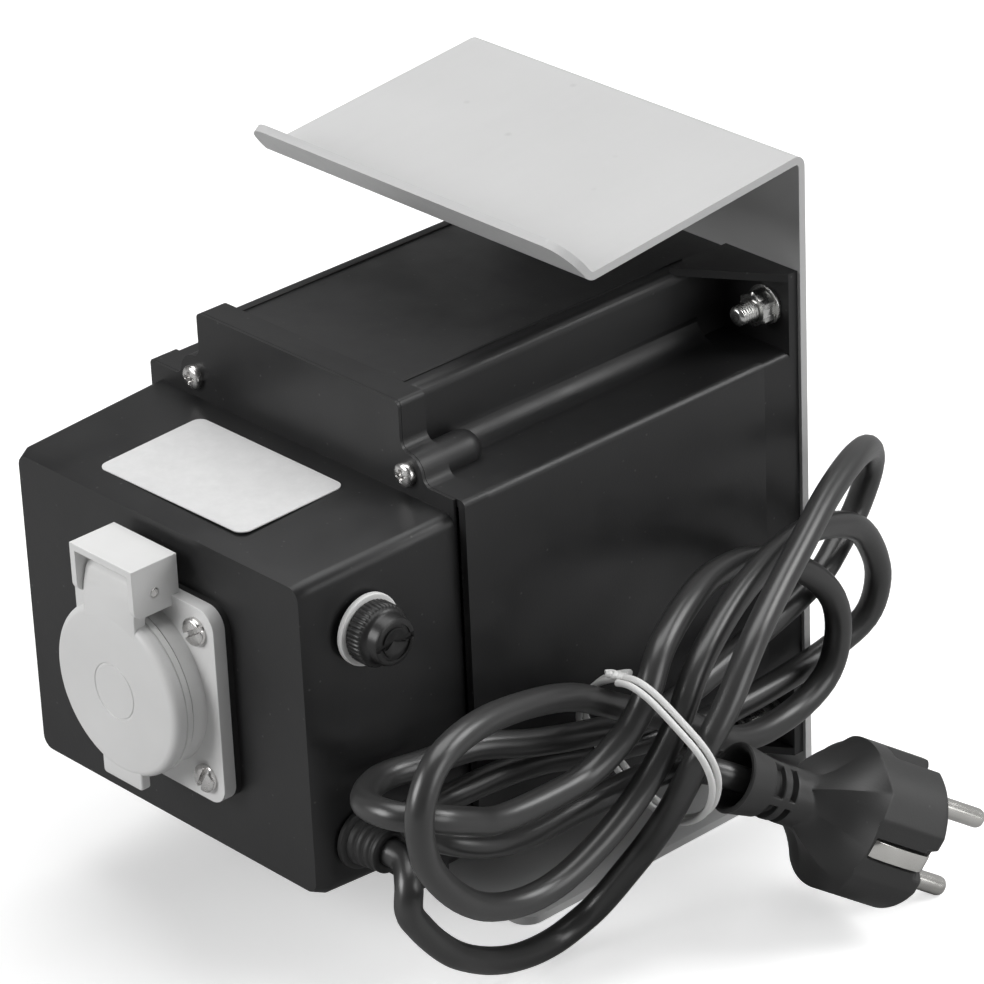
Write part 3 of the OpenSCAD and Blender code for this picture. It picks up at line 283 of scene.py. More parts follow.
def specks(tree, place, colour, speck, size_per_metre, amount):
    """A colour with small sparse specks of another, where cells of a Voronoi pattern are near their
    middle."""
    cells = node(tree, "ShaderNodeTexVoronoi", Scale=size_per_metre, Randomness=1.0)
    tree.links.new(place, cells.inputs["Vector"])
    near = node(tree, "ShaderNodeMapRange", From_Min=0.03, From_Max=0.09, To_Min=amount, To_Max=0.0)
    tree.links.new(cells.outputs["Distance"], near.inputs["Value"])
    mix = tree.nodes.new("ShaderNodeMix")
    mix.data_type = "RGBA"
    tree.links.new(near.outputs["Result"], mix.inputs["Factor"])
    tree.links.new(colour, mix.inputs["A"])
    mix.inputs["B"].default_value = (*speck, 1)
    return mix.outputs["Result"]


def moulded(name, low, high, rough, grain=2600, grain_depth=0.00004, dust=0.0, metallic=0.0):
    """Moulded plastic or rubber: faint colour patches, a fine eroded grain and uneven gloss."""
    material, tree, shader, place = start_material(name)
    patches = noise(tree, place, 35, 5)
    colour = shade_between(tree, patches, low, high)
    if dust:
        colour = specks(tree, place, colour, (0.16, 0.16, 0.155), 230, dust)
    tree.links.new(colour, shader.inputs["Base Color"])
    tree.links.new(spread(tree, noise(tree, place, 70, 3), *rough), shader.inputs["Roughness"])
    raise_by(tree, shader, noise(tree, place, grain, 2), 0.35, grain_depth)
    shader.inputs["Metallic"].default_value = metallic
    return material


def painted_sheet(name, low, high):
    """Baked paint on sheet steel: a soft orange peel, faint rubbed streaks and small dark nicks."""
    material, tree, shader, place = start_material(name)
    colour = shade_between(tree, noise(tree, place, 14, 6), low, high)
    colour = specks(tree, place, colour, (0.32, 0.32, 0.32), 75, 0.3)
    tree.links.new(colour, shader.inputs["Base Color"])
    rubbed = node(tree, "ShaderNodeMapping", Scale=(60, 6, 60))
    tree.links.new(place, rubbed.inputs["Vector"])
    streaks = noise(tree, rubbed.outputs["Vector"], 4, 4)
    tree.links.new(spread(tree, streaks, 0.3, 0.42), shader.inputs["Roughness"])
    peel = raise_by(tree, shader, noise(tree, place, 900, 2), 0.25, 0.00005)
    raise_by(tree, shader, noise(tree, place, 90, 2), 0.2, 0.00012, peel)
    return material


def plated(name, low, high, rough, lines=0.0):
    """Plated or turned metal: dull patches, fine scratches and, when asked for, turned lines."""
    material, tree, shader, place = start_material(name)
    tree.links.new(shade_between(tree, noise(tree, place, 150, 4), low, high), shader.inputs["Base Color"])
    tree.links.new(spread(tree, noise(tree, place, 300, 3), *rough), shader.inputs["Roughness"])
    under = raise_by(tree, shader, noise(tree, place, 3000, 2), 0.15, 0.00002)
    if lines:
        wave = node(tree, "ShaderNodeTexWave", Scale=lines, Distortion=0.4, Detail=2.0)
        wave.bands_direction = "Z"
        tree.links.new(place, wave.inputs["Vector"])
        raise_by(tree, shader, wave.outputs["Fac"], 0.4, 0.00005, under)
    shader.inputs["Metallic"].default_value = 1.0
    return material


def banded(name, low, high, rough, scale, direction, metallic=0.0):
    """Fine parallel bands, as on stacked laminations or wound wire."""
    material, tree, shader, place = start_material(name)
    wave = node(tree, "ShaderNodeTexWave", Scale=scale, Distortion=0.6, Detail=2.0, Detail_Scale=3.0)
    wave.bands_direction = direction
    tree.links.new(place, wave.inputs["Vector"])
    colour = shade_between(tree, wave.outputs["Fac"], low, high, 0.2, 0.8)
    tree.links.new(colour, shader.inputs["Base Color"])
    tree.links.new(spread(tree, noise(tree, place, 90, 3), *rough), shader.inputs["Roughness"])
    raise_by(tree, shader, wave.outputs["Fac"], 0.6, 0.0002)
    shader.inputs["Metallic"].default_value = metallic
    return material


def sheathed(name, low, high, rough):
    """A cord's sheath: long faint drag marks along it, read from its own UV map, over soft patches."""
    material, tree, shader, place = start_material(name)
    along = node(tree, "ShaderNodeUVMap")
    along.uv_map = "along"
    drawn = node(tree, "ShaderNodeMapping", Scale=(2.0, 26.0, 1.0))
    tree.links.new(along.outputs["UV"], drawn.inputs["Vector"])
    drag = noise(tree, drawn.outputs["Vector"], 3, 3)
    tree.links.new(shade_between(tree, noise(tree, place, 60, 4), low, high), shader.inputs["Base Color"])
    tree.links.new(spread(tree, drag, *rough), shader.inputs["Roughness"])
    shader.inputs["Specular IOR Level"].default_value = 0.8
    under = raise_by(tree, shader, drag, 0.05, 0.0001)
    raise_by(tree, shader, noise(tree, place, 1500, 2), 0.15, 0.00004, under)
    return material


def fibrous(name, low, high, rough):
    """Label paper: fine fibres and a slight unevenness under a dull coat."""
    material, tree, shader, place = start_material(name)
    colour = shade_between(tree, noise(tree, place, 260, 6, 0.65), low, high)
    tree.links.new(colour, shader.inputs["Base Color"])
    tree.links.new(spread(tree, noise(tree, place, 120, 3), *rough), shader.inputs["Roughness"])
    under = raise_by(tree, shader, noise(tree, place, 1800, 3), 0.3, 0.00004)
    raise_by(tree, shader, noise(tree, place, 60, 2), 0.25, 0.0003, under)
    return material


CASE = moulded("case_plastic", (0.0125, 0.0125, 0.013), (0.0165, 0.0165, 0.017), (0.34, 0.46),
               2200, 0.00005, 0.3)
PAINT = painted_sheet("bracket_paint", (0.56, 0.56, 0.56), (0.6, 0.6, 0.6))
OUTLET = moulded("outlet_plastic", (0.7, 0.7, 0.695), (0.76, 0.76, 0.755), (0.3, 0.4), 3000, 0.00002)
INSERT = moulded("insert_plastic", (0.5, 0.5, 0.5), (0.56, 0.56, 0.555), (0.35, 0.45), 3000, 0.00002)
SHEATH = sheathed("lead_sheath", (0.03, 0.03, 0.03), (0.038, 0.038, 0.038), (0.28, 0.35))
PLUG = moulded("plug_rubber", (0.034, 0.034, 0.034), (0.044, 0.044, 0.044), (0.38, 0.5), 1600, 0.00008, 0.3)
RUBBER = moulded("black_rubber", (0.018, 0.018, 0.018), (0.026, 0.026, 0.026), (0.45, 0.6), 1800, 0.00006)
FUSE = moulded("fuse_plastic", (0.014, 0.014, 0.014), (0.02, 0.02, 0.02), (0.28, 0.38), 2600, 0.00003)
WHITE = moulded("white_plastic", (0.78, 0.78, 0.77), (0.86, 0.86, 0.85), (0.35, 0.5), 1500, 0.00004)
BOBBIN = moulded("bobbin_plastic", (0.62, 0.58, 0.48), (0.7, 0.66, 0.56), (0.4, 0.5), 1500, 0.00004)
PAPER = fibrous("label_paper", (0.68, 0.68, 0.68), (0.74, 0.74, 0.74), (0.42, 0.55))
ZINC = plated("zinc_steel", (0.64, 0.64, 0.63), (0.74, 0.74, 0.72), (0.2, 0.32))
SCREW = plated("screw_steel", (0.64, 0.63, 0.62), (0.76, 0.75, 0.74), (0.22, 0.3))
NICKEL = plated("pin_nickel", (0.72, 0.71, 0.68), (0.82, 0.81, 0.78), (0.14, 0.26))
BRASS = plated("brass_part", (0.62, 0.45, 0.2), (0.74, 0.56, 0.28), (0.24, 0.4))
CORE = banded("core_steel", (0.06, 0.06, 0.065), (0.2, 0.2, 0.21), (0.4, 0.55), 320, "Z", 0.8)
WIRE = banded("copper_wire", (0.22, 0.07, 0.03), (0.5, 0.2, 0.08), (0.25, 0.4), 220, "Y", 0.6)
GLASS = moulded("fuse_glass", (0.7, 0.72, 0.72), (0.78, 0.8, 0.8), (0.08, 0.16), 1500, 0.00001)

SLOT_MATERIALS = {
    "bracket_paint": PAINT, "zinc_steel": ZINC, "case_plastic": CASE, "screw_steel": SCREW,
    "label_paper": PAPER, "core_steel": CORE, "bobbin_plastic": BOBBIN, "copper_wire": WIRE,
    "brass_part": BRASS, "black_rubber": RUBBER, "outlet_plastic": OUTLET, "insert_plastic": INSERT,
    "fuse_plastic": FUSE, "white_plastic": WHITE, "fuse_glass": GLASS, "lead_jacket": SHEATH,
    "plug_rubber": PLUG, "pin_nickel": NICKEL}

for part in frame["record"]["subparts"]:
    mesh = frame["nodes"][part["node"]].data
    mesh.materials.clear()
    mesh.materials.append(SLOT_MATERIALS[part["material_slot"]])


# Mains lead: the part's own route, carried on as one smooth curve

LEAD_ROUTE = [
    [61.33, -94, 44.5], [66.3, -94.3, 44.2], [70.8, -97.5, 41.2], [72, -98.9, 35.5], [72, -95.9, 30],
    [72, -91.2, 23.7], [71.8, -85.2, 17.6], [70.6, -76.6, 11.6], [69.6, -68, 7.4], [68.6, -59.4, 4.9],
    [67.8, -50.8, 4.1], [69, -44, 6.6], [71.5, -39.4, 11], [77, -34.5, 21], [81.5, -32.6, 28.5],
    [89, -33, 40], [97, -32, 56], [98, -24, 66], [95, -12, 77], [90, 1, 83], [84, 16, 88], [77, 32, 92],
    [70, 48, 93], [62, 62, 88], [57, 68, 79], [55, 65, 68], [57, 56, 62], [59.5, 47, 58.5],
    [60.5, 34, 54.5], [62, 12, 50], [64, -12, 47], [64.8, -33, 51.2], [64, -52, 56], [62, -68, 61],
    [59, -81, 61], [58, -92, 62], [62.5, -101, 64], [70, -107.5, 66.2], [79.5, -107.5, 67.3],
    [85, -101, 66], [85.5, -92.5, 62], [84, -82, 57], [83, -66, 55], [82, -52, 55], [83, -41, 61],
    [84, -35, 69], [81, -27, 77], [75, -12, 81], [69, 3, 80], [65, 20, 75.5], [66.5, 35, 67],
    [68, 43, 57], [68.5, 44, 46], [68.5, 39, 36.5], [69, 25, 32], [71, 6, 35], [72, -14, 49],
    [72, -32, 60], [75, -49, 71], [80, -68, 79], [85, -87, 84], [88, -101, 83], [89.5, -108, 77],
    [90, -110, 68], [89, -106, 56], [88, -95, 43], [87, -82, 36], [87, -68, 35], [87, -53, 40],
    [87, -40, 48], [88, -30, 60], [86, -20, 72], [80, -2, 79], [74, 17, 81], [70, 34, 80], [67, 51, 73],
    [65.5, 59, 64], [64, 63, 53], [62.5, 60, 43], [60, 48, 37], [60, 28, 35], [60, 8, 35],
    [60, -10, 38], [59, -28, 41.2], [59.2, -44, 46], [59.4, -58, 48.5], [58.4, -72, 48.5],
    [59.3, -80, 49.5], [61.5, -88, 51.5], [68, -91.2, 51.5], [74, -87, 49.5], [76, -78, 45.5],
    [75, -66, 42], [74, -51, 41], [75, -39.5, 41.5], [79.5, -32, 44.5], [85.5, -28.8, 47.5],
    [90.8, -25.5, 48.3], [94.5, -20.7, 46.3], [98.02, -12.53, 40.88]]
LEAD_D = 6.6


def smooth_route(route, count, closed=False):
    """A Catmull-Rom curve through the route's points, with so many steps between two of them."""
    route = np.asarray(route, float)
    if closed:
        before, here, after, later = (np.roll(route, k, axis=0) for k in (1, 0, -1, -2))
    else:
        padded = np.concatenate([route[:1], route, route[-1:]])
        before, here, after, later = padded[:-3], padded[1:-2], padded[2:-1], padded[3:]
    s = (np.arange(count) / count)[None, :, None]
    a, b, c, d = (x[:, None, :] for x in (before, here, after, later))
    curve = 0.5 * (2 * b + (c - a) * s + (2 * a - 5 * b + 4 * c - d) * s ** 2
                   + (3 * b - a - 3 * c + d) * s ** 3)
    curve = curve.reshape(-1, route.shape[1])
    return curve if closed else np.concatenate([curve, route[-1:]])


def carried_frames(path):
    """Heading and two sideways directions at each point of a path, carried along it without twist."""
    heads = np.gradient(path, axis=0)
    heads /= np.linalg.norm(heads, axis=1)[:, None]
    side = np.cross(heads[0], (0.1, 0.2, 1.0))
    sides = []
    for head in heads:
        side = side - head * (side @ head)
        side = side / np.linalg.norm(side)
        sides.append(side)
    sides = np.array(sides)
    return heads, sides, np.cross(heads, sides)


def swept(path, radius, sides, phase=0.0):
    """A circle carried along a path: each point is the path's plus the radius times the cosine and sine
    of its angle along the two sideways directions. The radius may change along the path."""
    _, across, over = carried_frames(path)
    angle = (np.arange(sides) + phase) * TURN / sides
    radius = np.broadcast_to(np.asarray(radius, float), (len(path),))[:, None, None]
    return path[:, None, :] + radius * (np.cos(angle)[None, :, None] * across[:, None, :]
                                        + np.sin(angle)[None, :, None] * over[:, None, :])


def map_along(obj, rows, cols, step):
    """A UV map on a swept tube: U runs along it, V round it."""
    mesh = obj.data
    layer = mesh.uv_layers.new(name="along")
    corner = np.empty(len(mesh.loops), int)
    mesh.loops.foreach_get("vertex_index", corner)
    row, col = corner // cols, corner % cols
    layer.data.foreach_set("uv", np.column_stack([row * step, col / cols]).ravel())


def build_lead():
    """The lead as one tube from the gland to the plug's sleeve."""
    sides = 16
    path = smooth_route(LEAD_ROUTE, 5)
    points = swept(path, LEAD_D / 2, sides)
    mesh = bpy.data.meshes.new("mains_lead")
    corners, faces = grid_shell(points)
    mesh.from_pydata((corners * MM).tolist(), [], [face[::-1] for face in faces])
    mesh.update()
    obj = finish_piece("mains_lead", mesh, SHEATH, "case",
                       ("lead_stretch", "lead_hank", "lead_tail"), 60, 0.0)
    map_along(obj, len(path), sides, 0.003)
    length = np.linalg.norm(np.diff(path, axis=0), axis=1).sum()
    return obj, path, length


lead, lead_path, lead_length = build_lead()


# Tie: two wires side by side round all of the hank but its innermost strand, their ends twisted together

TIE_OUTLINE = [
    [3, 18.3], [11, 18.5], [19.5, 12.3], [26, 5], [26.3, -4], [20, -15],
    [9, -22.5], [-2, -20.5], [-9.4, -13.7], [-14.2, -9.4], [-18, -3.5], [-10, 9.5]]
TIE_AT = np.array([76, -32.5, 55.0])
TIE_LEAN = np.radians(15)


def tie_place(flat, along):
    """Points of the tie's leaned plane in the part's frame."""
    return TIE_AT + np.stack([
        flat[:, 0],
        along * np.cos(TIE_LEAN) - flat[:, 1] * np.sin(TIE_LEAN),
        along * np.sin(TIE_LEAN) + flat[:, 1] * np.cos(TIE_LEAN)], axis=1)


def build_tie():
    """Two turns of coated wire along the tie's outline, and two ends twisted round each other."""
    turn = smooth_route(TIE_OUTLINE, 6, closed=True)
    flat = np.concatenate([turn, turn, turn[:1]])
    along = 2.1 * (np.arange(len(flat)) / len(turn) - 1)
    shells = [grid_shell(swept(tie_place(flat, along), 0.8, 12))]
    ends = np.linspace(0, 1, 40)
    for side in (0, np.pi):
        start = tie_place(np.array([[3.0, 18.3]]), np.array([0.0]))[0]
        middle = start + ends[:, None] * np.array([-3.4, -1.6, 0.6])
        swing = side + 3 * np.pi * ends
        wobble = np.column_stack([np.cos(swing), np.sin(swing), 0.3 * np.cos(swing)]) * 0.85
        shells.append(grid_shell(swept(middle + wobble, 0.7, 10)))
    return make_piece("twist_wires", shells, WHITE, replaces=("twist_tie",),
                      smooth_angle=60)


tie = build_tie()


# Plug: one skin of radius over angle and length, from the sleeve's bore to the front face

PLUG_AT = np.array([95.3, -19.7, 45.6])
PLUG_TURN, PLUG_DIP, PLUG_ROLL = np.radians((69.2, 31.6, 1.0))
PLUG_R = 18.4
PIN_SIDE = 9.5


def plug_axes():
    """The plug's three axes: rolled about its length, dipped, then turned."""
    c, s = np.cos, np.sin
    roll = np.array([[c(PLUG_ROLL), -s(PLUG_ROLL), 0], [s(PLUG_ROLL), c(PLUG_ROLL), 0], [0, 0, 1]])
    dip = PLUG_DIP + np.pi / 2
    lean = np.array([[c(dip), 0, s(dip)], [0, 1, 0], [-s(dip), 0, c(dip)]])
    turn = np.array([[c(PLUG_TURN), -s(PLUG_TURN), 0], [s(PLUG_TURN), c(PLUG_TURN), 0], [0, 0, 1]])
    return turn @ lean @ roll


PLUG_AXES = plug_axes()


def plug_radius(radius, height, angle):
    """The plug's outer radius: two bands of slots in the sleeve; four scooped sides on the grip, each
    hollow in its middle, that meet in full ridges; a round front with two flats, two guide grooves
    that start a third of the way along, and a bay at each earth strip's end."""
    out = radius.copy()
    on_sleeve = (radius > 6.2) & (height < 16)
    for low, high in ((8.0, 10.6), (12.9, 14.3)):
        band = (smoothstep(height, low - 0.25, low + 0.25)
                * (1 - smoothstep(height, high - 0.25, high + 0.25)))
        gap = smoothstep(np.abs(np.sin(2 * angle)), 0.26, 0.4)
        out = np.where(on_sleeve, out - 1.7 * band * gap, out)
    ridge = np.abs(((angle - np.pi / 4) / (np.pi / 2)) % 1 - 0.5) * 2
    start = 20.3 - 2.0 * ridge
    stop = 31.0 + 2.0 * ridge ** 3
    flare = np.clip((height - start) / (stop - start), 0, 1)
    scooped = 6.9 + 11.5 * flare ** (1.75 - 1.0 * ridge ** 1.5)
    out = np.where((height > 16) & (height < 33.1) & (radius > 6.5), scooped, out)
    outer = np.minimum(PLUG_R, 16.8 / np.maximum(np.abs(np.sin(angle)), 1e-6))
    guide = 2.3 * (1 - smoothstep(np.abs(np.sin(angle)) * PLUG_R, 2.3, 2.9))
    guide = guide * smoothstep(height, 36.2, 37.2)
    strip = 1.0 * (1 - smoothstep(np.abs(np.cos(angle)) * 17, 2.4, 2.8)) * smoothstep(height, 32.2, 32.9)
    bay = 2.2 * (1 - smoothstep(np.abs(np.cos(angle)) * 17, 3.2, 4.4)) * smoothstep(height, 46.6, 48.6)
    front = outer - guide - np.maximum(strip, bay)
    on_front = (height >= 31.0) & (radius > 5)
    within_grip = np.where(height < 33.1, out, np.inf)
    return np.where(on_front, np.minimum(front * np.minimum(radius / PLUG_R, 1.0), within_grip), out)


def build_plug():
    """The plug's body as one skin, its pins with rounded ends, and its two earth strips."""
    grip = np.concatenate([np.linspace(17.0, 30.6, 34), np.linspace(30.8, 33.0, 12)])
    front = np.concatenate([
        np.linspace(33.2, 37.6, 10), np.linspace(39, 46, 4), np.linspace(46.6, 49.2, 8)])
    sleeve = np.linspace(0.9, 16.6, 60)
    profile = np.concatenate([
        [[0.05, 9.0], [5.6, 9.0], [6.0, 8.6], [6.2, 4.0], [6.7, 1.2],
         [7.2, 0.3], [7.7, 0.0], [8.2, 0.15], [8.5, 0.5]],
        np.column_stack([8.5 - 1.6 * smoothstep(sleeve, -2, 13), sleeve]),
        np.column_stack([np.full(len(grip), PLUG_R), grip]),
        np.column_stack([np.full(len(front), PLUG_R), front]),
        [[18.25, 49.6], [17.8, 50.0], [12.0, 50.0], [5.2, 50.0], [0.05, 50.0]]])
    body = moved(turned(profile, 256, plug_radius), PLUG_AT, PLUG_AXES)
    plug_body = make_piece("plug_grip", [grid_shell(body)], PLUG,
                           replaces=("plug_body",), smooth_angle=28)
    pin_profile = rounded([
        [0.02, 42], [2.0, 42], [2.0, 50.3], [2.4, 50.5], [2.4, 68.0], [2.0, 69], [0.02, 69]], 1.4, 7)
    pins = []
    for side in (-1, 1):
        pin = moved(turned(pin_profile, 32), (side * PIN_SIDE, 0, 0))
        pins.append(grid_shell(moved(pin, PLUG_AT, PLUG_AXES)))
    plug_pins = make_piece("plug_contacts", pins, NICKEL, replaces=("plug_pins",),
                           smooth_angle=50)
    strips = []
    for side in (-1, 1):
        along = np.array([32.9, 34, 38, 43, 47.2, 48.4, 49.0])
        lift = np.array([16.1, 16.6, 16.9, 16.9, 16.5, 15.9, 15.0])
        line = np.column_stack([np.zeros(7), side * lift, along])
        outline = box_outline(4.4, 0.7, 0.3, 3)
        direction = np.gradient(line, axis=0)
        direction /= np.linalg.norm(direction, axis=1)[:, None]
        normal = np.cross((1.0, 0, 0), direction)
        strip = (line[:, None, :] + outline[None, :, :1] * np.array([1.0, 0, 0])
                 + outline[None, :, 1:] * normal[:, None, :])
        strips.append(grid_shell(moved(strip, PLUG_AT, PLUG_AXES)))
    earth = make_piece("plug_earth_strips", strips, NICKEL,
                       replaces=("plug_earth_clips",), smooth_angle=40)
    return [plug_body, plug_pins, earth]


plug_pieces = build_plug()


# Case, box and bracket

softened("bracket_sheet", "carry_bracket", PAINT, 0.35)
softened("case_body", "core_housing", CASE, 0.5)
softened("front_box", "terminal_housing", CASE, 0.5)


# Screws, bolts, nuts and washers

AXIS_H = 72.6
OUTLET_H = 73.5


def four_places(dx, dz, y, height):
    """The four corners of a rectangle across Y."""
    return [(sx * dx, y, height + sz * dz) for sx in (-1, 1) for sz in (-1, 1)]


def domed_head(radius, height, recess):
    """A screw's head: a low dome over a disc, less a recess whose depth is a function of the place
    on it."""
    share = np.concatenate([np.linspace(0, 0.72, 26), np.linspace(0.76, 1.0, 10)])[:, None]
    angle = (np.arange(96) * TURN / 96)[None, :]
    x, y = radius * share * np.cos(angle), radius * share * np.sin(angle)
    top = height * (0.55 + 0.45 * np.sqrt(np.clip(1 - share ** 2, 0, 1))) - recess(x, y)
    rim = height * (1 - 0.455 * smoothstep(share, 0.9, 1.0))
    z = np.minimum(top, rim + 0 * x)
    cap = np.stack([x, y, z], axis=-1)
    skirt = cap[-1].copy()
    skirt[:, 2] = 0
    return np.concatenate([cap, skirt[None]])


def cross_recess(size, width, depth):
    """Depth of a cross shaped recess: two arms with sloping walls."""
    def depth_at(x, y):
        arms = [(1 - smoothstep(np.abs(a), width / 2, width / 2 + 0.2))
                * (1 - smoothstep(np.abs(b), size * 0.7, size)) for a, b in ((x, y), (y, x))]
        return depth * np.maximum(*arms)
    return depth_at


def slot_recess(width, depth, turn):
    """Depth of a straight slot right across the head."""
    def depth_at(x, y):
        across = np.abs(x * np.sin(turn) - y * np.cos(turn))
        return depth * (1 - smoothstep(across, width / 2, width / 2 + 0.12))
    return depth_at


def socket_recess(flats, depth):
    """Depth of a six sided socket."""
    def depth_at(x, y):
        angle = np.arctan2(y, x)
        reach = np.hypot(x, y) * np.cos((angle + np.pi / 6) % (np.pi / 3) - np.pi / 6)
        return depth * (1 - smoothstep(reach, flats / 2 - 0.1, flats / 2 + 0.1))
    return depth_at


def screw_shells(places, head_r, head_h, recesses, shank_r, shank_len):
    """A domed head facing the front and a pointed shank behind it, at each place."""
    shells = []
    shank = [[0.02, shank_len], [shank_r, shank_len - 0.4], [shank_r, 0]]
    for place, recess in zip(places, recesses):
        head = domed_head(head_r, head_h, recess)
        shells.append(grid_shell(moved(head, place, TO_FRONT), ends=False))
        shells.append(grid_shell(moved(turned(shank, 24), place, TO_BACK)))
    return shells


def build_screws():
    """The box's four cross screws and the outlet's four slotted ones, each with its shank."""
    crosses = [cross_recess(1.7, 0.7, 0.8)] * 4
    box = screw_shells(four_places(37, 47.1, -62.4, AXIS_H), 3.0, 2.2, crosses, 1.5, 15)
    make_piece("box_screws", box, SCREW, replaces=("housing_screws",), smooth_angle=40)
    slots = [slot_recess(1.0, 1.1, turn) for turn in (0.7, 2.1, 1.1, 0.55)]
    flange = screw_shells(four_places(19, 19, -111.6, OUTLET_H), 3.4, 2.0, slots, 1.75, 9)
    make_piece("flange_screws", flange, SCREW, replaces=("outlet_screws",),
               smooth_angle=40)


def build_bolts():
    """Bolts with a rolled thread, six sided nuts with chamfered corners, and flat washers."""
    places = four_places(46.8, 55.4, 43.5, AXIS_H)
    thread_rows = np.column_stack([np.full(130, 2.5), np.linspace(9.8, 0, 130)])
    thread_rows = np.concatenate([
        [[0.02, 10.5], [1.5, 10.5], [1.8, 10.4], [2.3, 9.95]], thread_rows, [[2.5, -5.0]]])

    def threaded(radius, height, angle):
        wave = 0.17 * (0.5 + 0.5 * np.cos(TURN * height / 0.8 - angle))
        return np.where((radius > 2.4) & (height > 0), radius - wave, radius)

    def six_sided(radius, height, angle):
        reach = 4.0 / np.cos((angle + np.pi / 6) % (np.pi / 3) - np.pi / 6)
        return np.where(radius > 2.6, np.minimum(radius, reach), radius)

    bolts, nuts, washers = [], [], []
    for place in places:
        bolts.append(grid_shell(moved(turned(thread_rows, 32, threaded), place, TO_FRONT)))
        head = domed_head(4.75, 2.7, socket_recess(3.0, 1.8))
        bolts.append(grid_shell(moved(head, (place[0], 48.5, place[2]), TO_BACK), ends=False))
        nut = [[2.5, 1.0], [3.9, 1.0], [4.62, 1.35], [4.62, 4.65],
               [3.9, 5.0], [2.9, 5.0], [2.5, 4.6], [2.5, 1.0]]
        nuts.append(grid_shell(moved(turned(nut, 96, six_sided), place, TO_FRONT), ends=False))
        ring = rounded([
            [2.65, 0.5], [2.65, 0.0], [5.0, 0.0], [5.0, 1.0], [2.65, 1.0], [2.65, 0.5]], 0.15, 3)
        washers.append(grid_shell(moved(turned(ring, 48), place, TO_FRONT), ends=False))
    make_piece("plate_bolts", bolts, ZINC, replaces=("bracket_bolts",), smooth_angle=35)
    make_piece("plate_nuts", nuts, ZINC, replaces=("bracket_nuts",), smooth_angle=25)
    make_piece("plate_washers", washers, ZINC, replaces=("bracket_washers",),
               smooth_angle=35)


build_screws()
build_bolts()


# Label: a thin bare sheet that follows the box's sloping top, one corner a little lifted

def build_label():
    """A rounded rectangle of paper: rows of shrinking outlines over a flat sheet, one corner curled up."""
    w, l, r, thick = 51.0, 31.0, 2.5, 0.25
    tilt = np.arctan((41.8 - 40.1) / 45.0)
    rings = [box_outline(w * s, l * s, r * s, 10) for s in (1.0, 0.96, 0.85, 0.7, 0.5, 0.3, 0.1, 0.001)]
    flat = np.stack(rings)
    corner = np.clip((flat[..., 0] / (w / 2) - flat[..., 1] / (l / 2) - 1.35) / 0.65, 0, 1)
    lift = 0.9 * corner ** 2
    top = np.stack([flat[..., 0], flat[..., 1], thick + 0.05 + lift], axis=-1)
    under = top.copy()
    under[..., 2] -= thick
    skin = np.concatenate([under[::-1], top])
    axes = np.array([[1, 0, 0], [0, np.cos(tilt), -np.sin(tilt)], [0, np.sin(tilt), np.cos(tilt)]])
    at = (-2.4, -84.5, AXIS_H + (40.1 + 41.8) / 2)
    make_piece("bare_label", [grid_shell(moved(skin, at, axes))], PAPER,
               replaces=("rating_label",), smooth_angle=50)


build_label()


# Socket outlet

PIVOT = (0.0, -116.2, 101.0)

softened("outlet_frame", "outlet_flange", OUTLET, 0.6)
softened("outlet_bowl", "outlet_insert", INSERT, 0.25)


def build_lid():
    """The lid: a turned cap with a rounded rim and a fine ring, a neck that curls back round the
    pivot, and a lift tab."""
    cap = [[0.02, 0.0], [6.55, 0.0], [6.75, -0.22], [7.0, -0.22], [7.2, 0.0], [17.8, 0.0], [19.4, -0.12]]
    rim = [[19.4 + 1.9 * np.sin(a), -2.0 + 1.88 * np.cos(a)] for a in np.linspace(0.15, np.pi / 2, 9)]
    side = [[21.3, -3.4], [20.95, -3.55], [20.95, -3.85], [21.3, -4.0], [21.3, -5.3], [21.0, -5.6],
            [19.6, -5.6], [19.3, -5.3], [19.3, -2.0], [0.02, -2.0]]
    round_cap = turned(np.array(cap + rim + side), 128)
    shells = [grid_shell(moved(round_cap, (0, -121.5, OUTLET_H), TO_FRONT), ends=False)]
    bend = np.linspace(np.pi / 2, np.pi * 1.45, 16)
    inner = [[-119.0, 88.0], [-117.6, 96.0]]
    outer = [[-121.45, 88.0], [-121.4, 95.0], [-121.0, 98.5], [-120.4, 100.9]]
    curl = np.array([[PIVOT[1] - 4.1 * np.sin(a), PIVOT[2] - 3.3 * np.cos(a)] for a in bend])
    loop = np.concatenate([outer, curl[2:], inner[::-1]])
    xs = np.array([-9.0, -8.7, 8.7, 9.0])
    shrink = np.array([0.3, 0.0, 0.0, 0.3])
    middle = loop.mean(axis=0)
    rows = []
    for x, s in zip(xs, shrink):
        flat = loop + (middle - loop) / np.linalg.norm(middle - loop, axis=1)[:, None] * s
        rows.append(np.column_stack([np.full(len(flat), x), flat]))
    shells.append(grid_shell(np.stack(rows)))
    tab = moved(cushion_block(14, 6.0, 2.6, 1.0, 0.5), (0, -118.6, 52.7), TO_FRONT)
    shells.append(grid_shell(tab))
    make_piece("outlet_cover_lid", shells, OUTLET, body="lid",
               replaces=("outlet_lid",), smooth_angle=35)


